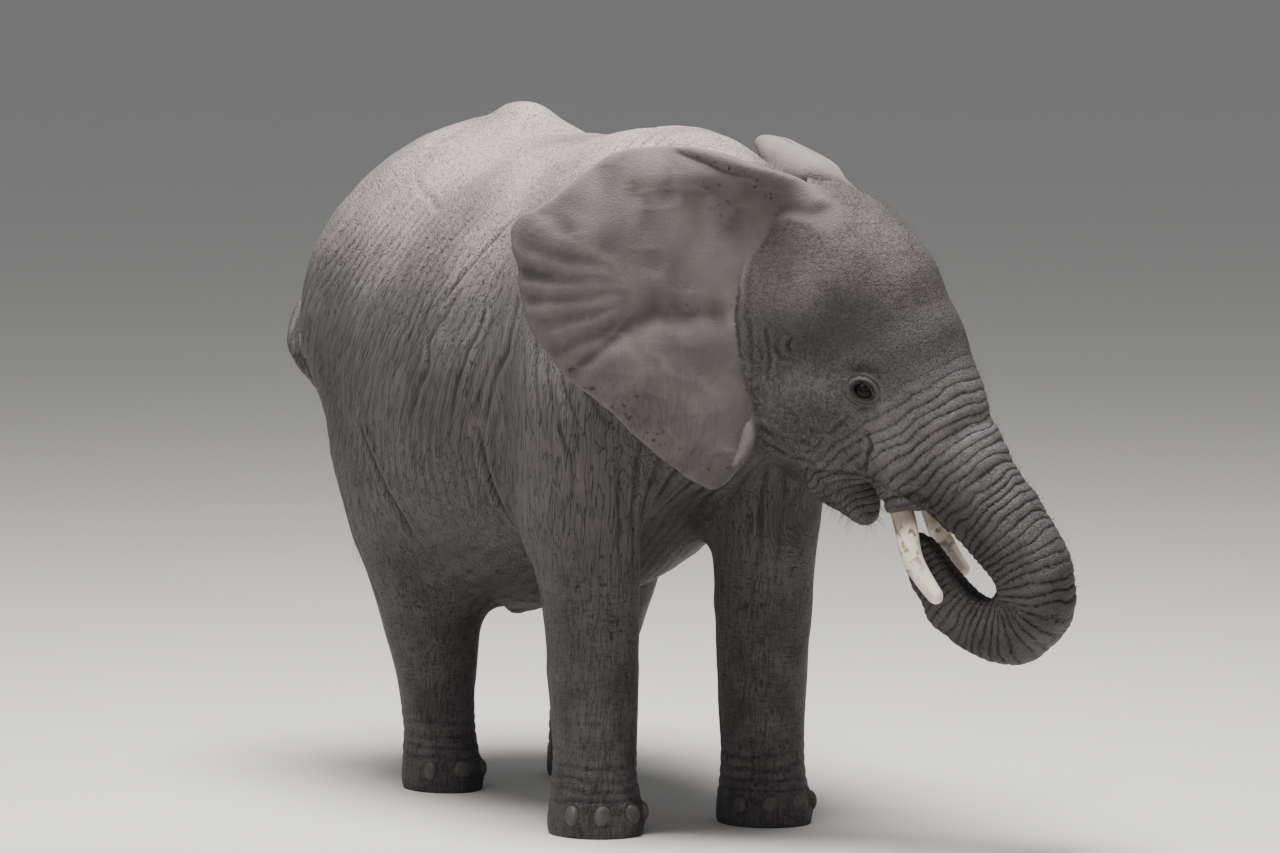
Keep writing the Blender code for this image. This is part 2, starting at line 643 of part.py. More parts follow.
# ---------------------------------------------------------------- assembly
def build():
    flesh = all_flesh()
    pieces = {}
    for side, word in SIDES:
        flap = ear("ear_" + word, side, word)
        boolean(flap, grown(flesh, EAR_SEAT), "DIFFERENCE", "MANIFOLD")
        pieces[flap.name] = keep_largest(flap)
    for foot, (x, y, angles, size) in FEET.items():
        for number, angle in enumerate(angles, 1):
            name = "nail_" + foot + "_" + str(number)
            shell = nail(name, flesh, (x, y), radians(angle), size)
            pieces[name] = keep_largest(boolean(shell, grown(flesh, SEAT), "DIFFERENCE"))
    tail = keep_largest(boolean(whole_tail(), grown(flesh, SEAT), "DIFFERENCE"))
    under = block("under", (-0.3, 0.95, TAIL_SPLIT - 0.5), (0.3, 0.2, 0.5))
    pieces["tail_lower"] = part_off(tail, "tail_lower", under)
    pieces["tail_upper"] = tail
    for side, word in SIDES:
        eyeball = eye("eye_" + word, side, flesh)
        boolean(flesh, grown(eyeball, SEAT), "DIFFERENCE")
        pieces[eyeball.name] = eyeball
        length = TUSK_LENGTH[word]
        pieces["tusk_" + word] = tusk("tusk_" + word, side, length)
        boolean(flesh, tusk("tusk_seat", side, length, SEAT), "DIFFERENCE")
    keep_largest(flesh)
    for side, word in SIDES:
        for fore in (True, False):
            leg = ("foreleg" if fore else "hindleg") + "_upper_" + word
            region = leg_region("leg_region", side, fore, 1.20 if fore else 1.27)
            upper = part_off(flesh, leg, region)
            pieces[leg] = upper
            lower = leg.replace("upper", "lower")
            under = block("under", (side * 0.3, FORE_Y if fore else HIND_Y + 0.05, 0.0), (0.28, 0.4, 0.40))
            pieces[lower] = part_off(upper, lower, under)
    head = part_off(flesh, "head", block("head_region", (0, -0.5, -0.2), (0.30, 0.5, 0.8), HEAD))
    outline = [(-0.02, -0.235), (0.16, -0.30), (0.262, -0.375), (0.302, -0.43), (0.318, -0.60), (-0.02, -0.60)]
    pieces["lower_jaw"] = part_off(head, "lower_jaw", head_prism("jaw_region", outline, 0.24))
    for name, station, half, length in TRUNK_CUTS:
        pieces[name] = part_off(head, name, beyond("trunk_region", station, half, length))
    pieces["head"] = head
    pieces["neck"] = part_off(flesh, "neck", block("neck_region", (0, -1.2, 1.35), (0.6, 0.5, 0.7)))
    flesh.name = "torso"
    pieces["torso"] = flesh
    return pieces


# ---------------------------------------------------------------- looks and scene
MATERIALS = {  # colour, roughness
    "hide": ((0.155, 0.135, 0.128, 1), 0.82),
    "ear_hide": ((0.150, 0.122, 0.108, 1), 0.78),
    "ivory": ((0.62, 0.53, 0.42, 1), 0.38),
    "nail_horn": ((0.30, 0.26, 0.21, 1), 0.55),
    "eyeball": ((0.035, 0.020, 0.012, 1), 0.12),
}


def material_of(name):
    starts = {"ear": "ear_hide", "tusk": "ivory", "nail": "nail_horn", "eye": "eyeball"}
    kind = starts.get(name.split("_")[0], "hide")
    material = bpy.data.materials.get(kind)
    if material is None:
        material = bpy.data.materials.new(kind)
        material.use_nodes = True
        shader = material.node_tree.nodes["Principled BSDF"]
        shader.inputs["Base Color"].default_value = MATERIALS[kind][0]
        shader.inputs["Roughness"].default_value = MATERIALS[kind][1]
        shader.inputs["Metallic"].default_value = 0.0
    return material


def stand(pieces):
    """Names and colours the pieces, gives each its own middle as origin, and hangs them from
    an empty so that the middle of the whole footprint is the origin."""
    low = np.min([points_of(obj).min(0) for obj in pieces.values()], axis=0)
    high = np.max([points_of(obj).max(0) for obj in pieces.values()], axis=0)
    shift = Vector((-(low[0] + high[0]) / 2, -(low[1] + high[1]) / 2, 0))
    collection = bpy.data.collections.new("elephant")
    bpy.context.scene.collection.children.link(collection)
    carrier = bpy.data.objects.new("elephant_origin", None)
    collection.objects.link(carrier)
    for name, obj in pieces.items():
        points = points_of(obj)
        middle = Vector((points.min(0) + points.max(0)) / 2)
        obj.data.transform(Matrix.Translation(-middle))
        obj.location = middle + shift
        obj.name = name
        obj.data.name = name
        obj.parent = carrier
        obj.data.materials.clear()
        obj.data.materials.append(material_of(name))
        obj.data.shade_smooth()
        obj.data.set_sharp_from_angle(angle=radians(40))
        bpy.context.scene.collection.objects.unlink(obj)
        collection.objects.link(obj)


clear_scene()
stand(build())
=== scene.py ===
# %% [markdown]
# # A young savanna elephant, standing
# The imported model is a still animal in 38 plain solids: torso, neck, head, trunk in four
# lengths, jaw, ears, legs, tail, eyes, tusks and nails. This notebook dresses it. The flesh
# solids are replaced by one unbroken skin, and the eyes, tusks and nails by finer copies in
# the same places. Everything is in metres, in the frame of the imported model.

import json
from math import cos, pi, radians, sin

import bmesh
import bpy
import numpy as np
from mathutils import Matrix, Vector

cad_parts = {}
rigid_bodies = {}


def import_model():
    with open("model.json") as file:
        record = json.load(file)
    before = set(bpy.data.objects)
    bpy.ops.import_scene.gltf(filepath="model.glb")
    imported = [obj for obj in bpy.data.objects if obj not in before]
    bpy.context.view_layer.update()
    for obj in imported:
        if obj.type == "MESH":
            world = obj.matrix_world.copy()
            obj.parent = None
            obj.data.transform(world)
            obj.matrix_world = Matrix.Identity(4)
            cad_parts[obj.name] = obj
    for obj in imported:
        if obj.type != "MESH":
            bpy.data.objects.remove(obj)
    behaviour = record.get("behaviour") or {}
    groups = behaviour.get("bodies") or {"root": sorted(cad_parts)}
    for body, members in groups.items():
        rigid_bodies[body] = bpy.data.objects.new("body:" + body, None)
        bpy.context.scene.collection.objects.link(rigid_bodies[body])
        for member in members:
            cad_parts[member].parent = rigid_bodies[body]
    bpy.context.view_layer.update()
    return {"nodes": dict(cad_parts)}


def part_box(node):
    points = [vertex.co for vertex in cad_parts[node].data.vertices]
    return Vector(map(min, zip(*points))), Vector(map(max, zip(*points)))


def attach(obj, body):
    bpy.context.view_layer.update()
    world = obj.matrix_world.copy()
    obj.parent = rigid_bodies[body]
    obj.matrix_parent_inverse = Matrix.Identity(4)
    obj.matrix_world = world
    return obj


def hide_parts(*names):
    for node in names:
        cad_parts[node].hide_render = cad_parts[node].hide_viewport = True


for obj in list(bpy.data.objects):
    bpy.data.objects.remove(obj)
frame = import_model()
NODES = sorted(frame["nodes"])

# %% [markdown]
# ## Surfaces as arrays
# Each mass of the body is a closed surface: rings of points carried along a path, or an
# ellipsoid. A ring is a whole row of an array, so no loop ever visits a single point. Two
# helpers turn rings into a closed triangle mesh and hand it to Blender.


# %% Rings of points made into closed bodies
def closed(rings, flat=False):
    """Points and triangles of a closed body, from an array (rings, points round, 3).
    Neighbouring rings are joined by quads cut in two, and each end by a fan to its middle.
    Where `flat`, an end is joined straight across instead, first half to second half. The
    triangles are turned so that the enclosed volume is positive."""
    count, around = rings.shape[:2]
    points = np.concatenate([rings.reshape(-1, 3), rings[0].mean(0)[None], rings[-1].mean(0)[None]])
    i, j = np.meshgrid(np.arange(count - 1), np.arange(around), indexing="ij")
    k = (j + 1) % around
    a, b, c, d = i * around + j, i * around + k, (i + 1) * around + k, (i + 1) * around + j
    sides = np.stack([np.stack([a, b, c], -1), np.stack([a, c, d], -1)]).reshape(-1, 3)
    j = np.arange(around)
    k = (j + 1) % around
    first, last = count * around, count * around + 1
    start = np.stack([np.full(around, first), k, j], -1)
    end = np.stack([np.full(around, last), last - 1 - around + j, last - 1 - around + k], -1)
    if flat:
        points = points[:first]
        j = np.arange(around // 2 - 1)
        a, b, c, d = j, j + 1, around - 2 - j, around - 1 - j
        start = np.concatenate([np.stack([b, a, d], -1), np.stack([b, d, c], -1)])
        end = first - around + np.concatenate([np.stack([a, b, d], -1), np.stack([d, b, c], -1)])
    return facing_out(points, np.concatenate([sides, start, end]))


def facing_out(points, faces):
    """The same triangles, all turned round if they enclose a negative volume."""
    corners = points[faces]
    volume = np.einsum("ij,ij->i", corners[:, 0], np.cross(corners[:, 1], corners[:, 2])).sum()
    return points, faces if volume > 0 else faces[:, ::-1]


def mesh_of(name, points, faces):
    """A mesh from an array of points and an array of faces that all have the same number of corners."""
    mesh = bpy.data.meshes.new(name)
    mesh.vertices.add(len(points))
    mesh.vertices.foreach_set("co", np.ascontiguousarray(points, np.float32).ravel())
    mesh.loops.add(faces.size)
    mesh.loops.foreach_set("vertex_index", np.ascontiguousarray(faces, np.int32).ravel())
    mesh.polygons.add(len(faces))
    mesh.polygons.foreach_set("loop_start", np.arange(0, faces.size, faces.shape[1], dtype=np.int32))
    mesh.update(calc_edges=True)
    mesh.shade_smooth()
    return mesh


def show(mesh):
    """An object for a mesh, at the origin, unturned and unscaled."""
    obj = bpy.data.objects.new(mesh.name, mesh)
    bpy.context.scene.collection.objects.link(obj)
    return obj


def read(items, key, width=1, kind=np.float32):
    """One property of all the items, as an array (items, width), or (items,) where the width is 1."""
    values = np.empty(len(items) * width, kind)
    items.foreach_get(key, values)
    return values.reshape(-1, width) if width > 1 else values


def points_of(mesh):
    """The place of each of a mesh's points."""
    return read(mesh.vertices, "co", 3).astype(float)


def normals_of(mesh):
    """The unit normal at each of a mesh's points."""
    return read(mesh.vertices, "normal", 3).astype(float)


def move_to(mesh, points):
    """Puts a mesh's points at the places given."""
    mesh.vertices.foreach_set("co", points.astype(np.float32).ravel())
    mesh.update()


# %% Stations, tubes and ellipsoids
def through(knots, rows, at):
    """Smooth values at `at`: between two knots, the cubic with the rows' values and mean slopes."""
    knots, rows, at = np.asarray(knots, float), np.asarray(rows, float), np.asarray(at, float)
    slopes = np.gradient(rows, knots, axis=0)
    i = np.clip(np.searchsorted(knots, at) - 1, 0, len(knots) - 2)
    span = (knots[i + 1] - knots[i])[:, None]
    t = (at - knots[i])[:, None] / span
    return (
        rows[i] * (1 + 2 * t) * (1 - t) ** 2
        + slopes[i] * span * t * (1 - t) ** 2
        + rows[i + 1] * t * t * (3 - 2 * t)
        + slopes[i + 1] * span * t * t * (t - 1)
    )


def lengths_along(path):
    """How far along a path of points each point lies."""
    return np.concatenate([[0], np.cumsum(np.linalg.norm(np.diff(path, axis=0), axis=1))])


def tube(rows, across=(1, 0, 0), steps=40, sides=36, caps=(0.0, 0.0), egg=0.0):
    """A closed body along a path. A row is x, y, z, half width, reach above, reach below.
    At angle v a section's point is path + across * width * cos v * (1 - egg * sin v)
    + up * reach * sin v. Near an end the section shrinks like a ball's, over `caps`."""
    rows = np.asarray(rows, float)
    knots = lengths_along(rows[:, :3])
    at = (1 - np.cos(np.linspace(0, pi, steps))) / 2 * knots[-1]
    lines = through(knots, rows, at)
    across = np.asarray(across, float)
    ups = np.cross(np.gradient(lines[:, :3], at, axis=0), across)
    ups /= np.linalg.norm(ups, axis=1)[:, None]
    shrink = np.ones(steps)
    for cap, gone in zip(caps, (at, knots[-1] - at)):
        if cap:
            shrink *= np.sqrt(np.clip(1 - np.clip(1 - gone / cap, 0, 1) ** 2, 0.002, 1))
    v = np.linspace(0, 2 * pi, sides, endpoint=False)
    reach = np.where(np.sin(v) > 0, lines[:, 4:5], lines[:, 5:6]) * np.sin(v) * shrink[:, None]
    width = lines[:, 3:4] * np.cos(v) * (1 - egg * np.sin(v)) * shrink[:, None]
    return closed(lines[:, None, :3] + width[..., None] * across + reach[..., None] * ups[:, None])


def turned(degrees):
    """The matrix of turns about x, then y, then z."""
    turn = Matrix.Identity(3)
    for angle, axis in zip(degrees, "XYZ"):
        turn = turn @ Matrix.Rotation(radians(angle), 3, axis)
    return np.array(turn)


def ellipsoid(centre, radii, turn=(0, 0, 0), around=32, rings=20):
    """centre + turn * (a cos u sin w, b sin u sin w, c cos w), for u round it and w from pole to pole."""
    w = np.linspace(0.02, pi - 0.02, rings)[:, None]
    u = np.linspace(0, 2 * pi, around, endpoint=False)[None]
    unit = np.stack([np.cos(u) * np.sin(w), np.sin(u) * np.sin(w), np.cos(w) + 0 * u], -1)
    return closed(unit * np.asarray(radii) @ turned(turn).T + np.asarray(centre))


# %% [markdown]
# ## Where the body is
# The animal faces -Y, so its left is +X. Its measures are given from the middle of the four
# feet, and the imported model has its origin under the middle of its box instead. The tusk
# shows how far the two are apart, because its shape is exact in both. The head has a frame
# of its own, turned to the animal's left: left, forward and up from between the ear roots.

# %% The body's and the head's frames
FORE_Y, HIND_Y = -0.47, 0.47
FORE_X, HIND_X = 0.235, 0.225
HIND_STRIDE = 0.07
HEAD_AT = np.array((0.075, -0.835, 1.27))
HEAD_TURN = radians(42)
SIDES = ((1, "left"), (-1, "right"))
HEAD_AXES = np.array(  # rows: left, forward and up
    (
        (cos(HEAD_TURN), sin(HEAD_TURN), 0),
        (sin(HEAD_TURN), -cos(HEAD_TURN), 0),
        (0, 0, 1),
    )
)


def from_head(points):
    """left * L + forward * F + up * U + the head's place."""
    return np.asarray(points, float) @ HEAD_AXES + HEAD_AT


def in_head(points):
    """The distances left, forward and up of the head's place."""
    return (np.asarray(points, float) - HEAD_AT) @ HEAD_AXES.T


def placed_on_head(body):
    """Moves a body given as (left, forward, up) into the animal's frame."""
    return facing_out(from_head(body[0]), body[1])


def head_tube(rows, **more):
    """A tube whose rows are given in the head's frame."""
    return placed_on_head(tube(rows, **more))


def head_ellipsoid(left, forward, up, radii, turn=(0, 0, 0)):
    """Its turns are about left, back and up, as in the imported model."""
    points, faces = ellipsoid((0, 0, 0), radii, turn)
    points = points * (1, -1, 1) + (left, forward, up)
    return placed_on_head((points, faces))


# %% Tusks, which also give the shift between the frames
TUSK_LENGTH = {"left": 0.80, "right": 1.0}
TUSK_ROOT = np.array((0.103, 0.362, -0.385))
TUSK_EXIT = np.array((0.106, 0.384, -0.455))
TUSK_TIP = np.array((0.150, 0.492, -0.640))
TUSK_INSIDE = 0.35  # how much of the tusk is in the lip, as a share of the length outside
TUSK_BOW = 0.022
TUSK_RADII = ((-TUSK_INSIDE, 0.029), (0.0, 0.0285), (0.45, 0.026), (0.85, 0.021), (1.0, 0.018))


def tusk_rows(side, length):
    """Stations from inside the lip to the tip. Outside, the middle is a straight line
    bowed back by TUSK_BOW * sin(pi t)."""
    rows = []
    for share, radius in TUSK_RADII:
        t = share * length if share > 0 else share
        toward = TUSK_EXIT - TUSK_ROOT if t <= 0 else TUSK_TIP - TUSK_EXIT
        left, forward, up = TUSK_EXIT + toward * (t / TUSK_INSIDE if t <= 0 else t)
        bow = TUSK_BOW * sin(pi * t) if t > 0 else 0
        rows.append((side * left, forward - bow, up, radius, radius, radius))
    return rows


def tusk_body(side, word, steps, sides):
    """One tusk with rounded ends, as points and triangles."""
    return head_tube(tusk_rows(side, TUSK_LENGTH[word]), steps=steps, sides=sides, caps=(0.012, 0.022))


plain = tusk_body(-1, "right", steps=9, sides=10)[0]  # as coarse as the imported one
low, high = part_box("tusk_right")
SHIFT = (np.array(low) + np.array(high)) / 2 - (plain.min(0) + plain.max(0)) / 2
SHIFT[2] = 0
print("feet's middle lies at", SHIFT.round(4), "misfit", abs(np.array(high) - plain.max(0) - SHIFT).round(4))

# %% [markdown]
# ## The masses of flesh
# A sculptor builds an animal from masses: a barrel, shoulder blades, thighs, a domed skull,
# a muscular trunk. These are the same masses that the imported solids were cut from, so the
# skin that wraps them follows those solids closely.


# %% Trunk, legs and head as masses
TORSO = [  # y, height of the widest level, half width, back, belly
    (0.957, 1.275, 0.14, 1.39, 1.18),
    (0.92, 1.27, 0.30, 1.52, 1.07),
    (0.85, 1.265, 0.435, 1.64, 0.96),
    (0.73, 1.25, 0.505, 1.735, 0.83),
    (0.56, 1.22, 0.51, 1.742, 0.645),
    (0.30, 1.16, 0.515, 1.72, 0.485),
    (0.0, 1.16, 0.50, 1.718, 0.565),
    (-0.25, 1.21, 0.445, 1.735, 0.745),
    (-0.45, 1.26, 0.385, 1.76, 0.84),
    (-0.62, 1.30, 0.32, 1.755, 0.89),
    (-0.78, 1.31, 0.25, 1.675, 0.94),
    (-0.86, 1.32, 0.19, 1.57, 1.05),
]


def torso_masses():
    """Barrel, crest of the hips, croup, withers, sheath, hips and buttocks."""
    rows = [(0, y, z, half, back - z, z - belly) for y, z, half, back, belly in TORSO]
    sheath = [
        (0, 0.16, 0.58, 0.07, 0.07, 0.07),
        (0, 0.36, 0.53, 0.062, 0.07, 0.06),
        (-0.015, 0.52, 0.452, 0.036, 0.036, 0.036),
    ]
    masses = [
        tube(rows, steps=60, sides=56, caps=(0.05, 0.16), egg=0.07),
        tube(sheath, caps=(0.08, 0.035)),
        ellipsoid((0, 0.44, 1.60), (0.125, 0.205, 0.192)),
        ellipsoid((0, 0.63, 1.44), (0.33, 0.23, 0.262)),
        ellipsoid((0, -0.47, 1.605), (0.18, 0.25, 0.155)),
    ]
    for side, _ in SIDES:
        masses.append(ellipsoid((side * 0.25, 0.53, 1.36), (0.215, 0.28, 0.20)))
        masses.append(ellipsoid((side * 0.215, 0.68, 1.13), (0.215, 0.195, 0.32), (-14, 0, 0)))
    return masses


FORELEG = [  # x, y, z, half width, reach forward, reach back
    (0.24, -0.44, 1.34, 0.12, 0.19, 0.20),
    (0.265, -0.46, 1.12, 0.150, 0.20, 0.23),
    (0.260, -0.46, 0.90, 0.142, 0.175, 0.20),
    (0.247, -0.46, 0.70, 0.128, 0.145, 0.165),
    (0.238, -0.465, 0.50, 0.119, 0.132, 0.135),
    (0.235, -0.465, 0.33, 0.112, 0.125, 0.12),
    (0.235, -0.47, 0.19, 0.106, 0.118, 0.112),
    (0.235, -0.47, 0.10, 0.112, 0.128, 0.115),
    (0.235, -0.47, 0.035, 0.124, 0.150, 0.120),
    (0.235, -0.47, -0.03, 0.126, 0.155, 0.122),
]
HINDLEG = [
    (0.24, 0.54, 1.30, 0.17, 0.22, 0.22),
    (0.268, 0.56, 1.10, 0.202, 0.27, 0.275),
    (0.280, 0.54, 0.90, 0.202, 0.26, 0.248),
    (0.277, 0.50, 0.72, 0.182, 0.21, 0.208),
    (0.263, 0.475, 0.55, 0.150, 0.165, 0.175),
    (0.242, 0.475, 0.38, 0.120, 0.125, 0.148),
    (0.229, 0.48, 0.22, 0.096, 0.105, 0.125),
    (0.225, 0.475, 0.10, 0.097, 0.118, 0.118),
    (0.225, 0.47, 0.035, 0.107, 0.142, 0.118),
    (0.225, 0.47, -0.03, 0.110, 0.148, 0.118),
]


def leg_masses(side):
    """Foreleg with elbow and shoulder blade, hind leg with knee."""
    fore = [(side * (x - 0.235 + FORE_X), *more) for x, *more in FORELEG]
    stride = HIND_STRIDE if side > 0 else 0.0
    hind = [
        (side * (x - 0.225 + HIND_X), y + stride * max(0, 1 - z / 0.9), z, *more)
        for x, y, z, *more in HINDLEG
    ]
    return [
        tube(fore, steps=48, caps=(0.12, 0.0)),
        ellipsoid((side * 0.275, -0.375, 0.83), (0.115, 0.175, 0.23), (-10, 0, 0)),
        ellipsoid((side * 0.245, -0.47, 1.22), (0.115, 0.21, 0.30), (6, side * 10, 0)),
        tube(hind, steps=48, caps=(0.14, 0.0)),
        ellipsoid((side * 0.285, 0.375, 0.70), (0.09, 0.10, 0.13)),
    ]


def neck_masses():
    """Short thick neck, from between the shoulders to the back of the head."""
    nape = from_head((0, -0.03, 0.02))
    rows = [
        (0, -0.40, 1.36, 0.31, 0.37, 0.46),
        (0, -0.62, 1.35, 0.265, 0.37, 0.42),
        (0.02, -0.76, 1.33, 0.22, 0.345, 0.36),
        (*nape, 0.19, 0.28, 0.27),
    ]
    return [tube(rows, steps=24, caps=(0.1, 0.1))]


TRUNK = [  # forward, up, half width, reach on the outer and on the inner side of the curl
    (0.20, 0.05, 0.175, 0.232, 0.20),
    (0.29, -0.06, 0.165, 0.222, 0.19),
    (0.37, -0.18, 0.145, 0.180, 0.15),
    (0.45, -0.30, 0.128, 0.150, 0.120),
    (0.54, -0.405, 0.117, 0.125, 0.105),
    (0.625, -0.500, 0.106, 0.110, 0.098),
    (0.686, -0.59, 0.096, 0.098, 0.092),
    (0.690, -0.670, 0.089, 0.089, 0.087),
    (0.628, -0.722, 0.083, 0.083, 0.082),
    (0.540, -0.712, 0.077, 0.077, 0.076),
    (0.470, -0.662, 0.070, 0.070, 0.070),
    (0.422, -0.598, 0.062, 0.062, 0.062),
    (0.389, -0.535, 0.051, 0.051, 0.051),
    (0.370, -0.480, 0.038, 0.038, 0.038),
]


def head_masses():
    """Skull, forehead, domes, brows, cheekbones, jaw muscles, cheeks, ear bases, tusk sheaths,
    lower jaw and trunk."""
    masses = [
        head_ellipsoid(0, 0.14, 0.07, (0.198, 0.265, 0.285)),
        head_ellipsoid(0, 0.235, 0.05, (0.165, 0.215, 0.235)),
        head_ellipsoid(0, -0.02, 0.04, (0.19, 0.17, 0.25)),
    ]
    for side, _ in SIDES:
        sheath = [
            (side * 0.080, 0.31, -0.13, 0.080, 0.09, 0.09),
            (side * 0.098, 0.345, -0.27, 0.066, 0.07, 0.07),
            (side * 0.104, 0.368, -0.39, 0.052, 0.055, 0.055),
            (side * 0.105, 0.378, -0.44, 0.046, 0.047, 0.047),
        ]
        masses += [
            head_ellipsoid(side * 0.07, 0.115, 0.215, (0.11, 0.155, 0.15)),
            head_ellipsoid(side * 0.135, 0.270, -0.070, (0.045, 0.10, 0.042), (28, 0, 0)),
            head_ellipsoid(side * 0.148, 0.17, -0.150, (0.045, 0.15, 0.065), (12, 0, 0)),
            head_ellipsoid(side * 0.105, 0.07, -0.185, (0.078, 0.14, 0.145), (-25, 0, 0)),
            head_ellipsoid(side * 0.085, 0.185, -0.255, (0.062, 0.115, 0.135), (-30, 0, 0)),
            head_ellipsoid(side * 0.160, -0.01, 0.02, (0.05, 0.07, 0.22)),
            head_tube(sheath, steps=20, caps=(0.08, 0.03)),
        ]
    jaw = [
        (0, -0.02, -0.17, 0.150, 0.10, 0.13),
        (0, 0.09, -0.265, 0.125, 0.10, 0.105),
        (0, 0.18, -0.355, 0.088, 0.085, 0.078),
        (0, 0.237, -0.43, 0.056, 0.050, 0.052),
        (0, 0.262, -0.485, 0.030, 0.028, 0.028),
    ]
    masses.append(head_tube(jaw, steps=28, caps=(0.08, 0.03)))
    rows = [(0, forward, up, half, outer, inner) for forward, up, half, outer, inner in TRUNK]
    masses.append(head_tube(rows, across=(-1, 0, 0), steps=110, caps=(0.18, 0.03)))
    return masses


TAIL = [  # x, y, z, radius
    (0.0, 0.86, 1.44, 0.060),
    (-0.03, 0.955, 1.435, 0.046),
    (-0.13, 1.005, 1.390, 0.034),
    (-0.268, 1.012, 1.315, 0.032),
    (-0.373, 1.000, 1.225, 0.029),
    (-0.408, 0.980, 1.130, 0.027),
    (-0.352, 0.960, 1.035, 0.023),
    (-0.27, 0.945, 0.930, 0.018),
    (-0.235, 0.935, 0.810, 0.015),
    (-0.225, 0.930, 0.700, 0.012),
]


def tail_mass():
    """The tail as a round tube, thinner toward its tip."""
    rows = [(x, y, z, r, r, r) for x, y, z, r in TAIL]
    across = np.array((0.35, 0.94, 0))
    return tube(rows, across=across / np.linalg.norm(across), steps=70, sides=20, caps=(0.03, 0.015))


# %% [markdown]
# ## One skin over all the masses
# Remesh in voxel mode melts overlapping bodies into one surface. The steps where they met
# are then relaxed away: hollow points move outwards to the middle of their neighbours, and
# bulging ones hardly move, which is how skin bridges the hollows between muscles.


# %% Fusing and settling
def neighbours(mesh):
    """Both ends of every edge, each way round, and how many neighbours each point has."""
    first, second = read(mesh.edges, "vertices", 2, np.int32).T
    start, stop = np.concatenate([first, second]), np.concatenate([second, first])
    return start, stop, np.maximum(np.bincount(start, minlength=len(mesh.vertices)), 1)


def spread(mesh, values, rounds):
    """A field smoothed over the surface: each round takes the mean of a point and its neighbours' mean."""
    start, stop, degree = neighbours(mesh)
    for _ in range(rounds):
        values = (values + np.bincount(start, values[stop], len(values)) / degree) / 2
    return values


def middles(points, start, stop, degree):
    """The mean of each point's neighbours."""
    sums = [np.bincount(start, points[stop, k], len(points)) for k in range(3)]
    return np.stack(sums, 1) / degree[:, None]


def bulge(mesh):
    """How far the middle of each point's neighbours lies outwards of it. It is over 0 in hollows."""
    points = points_of(mesh)
    return ((middles(points, *neighbours(mesh)) - points) * normals_of(mesh)).sum(1)


def settle(mesh, rounds, fill, ease, weight=1.0):
    """Each round moves a point by (m - p) / 2 along the surface, and along its normal by
    `fill` * (m - p) where that points outwards, else by `ease` * (m - p). m is the mean of
    the point's neighbours. `weight` scales the move, for each point or for all."""
    points = points_of(mesh)
    net = neighbours(mesh)
    for _ in range(rounds):
        move_to(mesh, points)
        out_way = normals_of(mesh)
        step_to = middles(points, *net) - points
        out = (step_to * out_way).sum(1, keepdims=True)
        move = 0.5 * (step_to - out * out_way) + np.where(out > 0, fill, ease) * out * out_way
        points = points + weight * move
    move_to(mesh, points)


def evaluated(obj):
    """What an object's modifiers make of it, as a mesh of its own. The object is removed."""
    graph = bpy.context.evaluated_depsgraph_get()
    mesh = bpy.data.meshes.new_from_object(obj.evaluated_get(graph))
    bpy.data.objects.remove(obj)
    return mesh


def joined(bodies):
    """One array of points and one of faces from several bodies."""
    starts = np.cumsum([0] + [len(points) for points, _ in bodies[:-1]])
    faces = [faces + start for (_, faces), start in zip(bodies, starts)]
    return np.concatenate([points for points, _ in bodies]), np.concatenate(faces)


def body_of(mesh):
    """Points and triangles of a mesh, as arrays."""
    mesh.calc_loop_triangles()
    return points_of(mesh), read(mesh.loop_triangles, "vertices", 3, np.int32)


def fused(name, bodies, voxel):
    """One surface round all the bodies, in quads about one voxel wide."""
    obj = show(mesh_of(name, *joined(bodies)))
    remesh = obj.modifiers.new("grain", "REMESH")
    remesh.mode = "VOXEL"
    remesh.voxel_size = voxel
    return evaluated(obj)


def flesh():
    """Body and head, each fused and settled, then fused together and settled again."""
    masses = torso_masses() + neck_masses()
    for side, _ in SIDES:
        masses += leg_masses(side)
    stages = []
    for name, bodies, voxel, rounds in (("body", masses, 0.018, 50), ("head", head_masses(), 0.012, 22)):
        mesh = fused(name, bodies, voxel)
        settle(mesh, 4, 0.5, 0.5)
        settle(mesh, rounds, 0.9, 0.06)
        stages.append(body_of(mesh))
    mesh = fused("flesh", stages, 0.014)
    settle(mesh, 4, 0.5, 0.5)
    settle(mesh, 14, 0.9, 0.06)
    return body_of(mesh)


FLESH = flesh()
print("flesh:", len(FLESH[1]), "triangles")

# %% [markdown]
# ## Ears
# An ear of this species is a thin sheet with the outline of a continent: broad on top, with a
# point behind and a lobe below. A ring of the ear's surface runs from its root along the
# front to the rim and back behind, and the rings follow each other round the rim. The right
# ear lies spread to the side. The left one is pressed back, as the head is turned that way.

# %% Outline, root line and spread of an ear
EAR_RIM = [  # distance out from the root line, height above the floor
    (-0.120, 1.605),
    (-0.04, 1.655),
    (0.04, 1.698),
    (0.12, 1.716),
    (0.22, 1.722),
    (0.31, 1.708),
    (0.40, 1.652),
    (0.495, 1.578),
    (0.568, 1.534),
    (0.560, 1.465),
    (0.543, 1.372),
    (0.515, 1.275),
    (0.420, 1.152),
    (0.350, 1.100),
    (0.254, 1.010),
    (0.133, 0.915),
    (0.072, 0.889),
    (0.028, 0.930),
    (0.004, 1.000),
]
EAR_ROOT = [  # left, forward and up in the head's frame
    (0.115, 0.115, 0.325),
    (0.150, 0.060, 0.270),
    (0.175, 0.012, 0.130),
    (0.184, 0.0, -0.05),
    (0.170, 0.0, -0.19),
    (0.155, 0.01, -0.26),
]
EAR_HINGE = (0.187, 0.0)
EAR_HEIGHTS = (1.25, 1.50, 1.70)
EAR_SPREAD = {"left": (92, 84, 48), "right": (22, 22, 22)}
EAR_BELLY = {"left": 0.075, "right": 0.030}
EAR_FAN = (0.222, 1.378)  # where the soft ridges of the flap come together


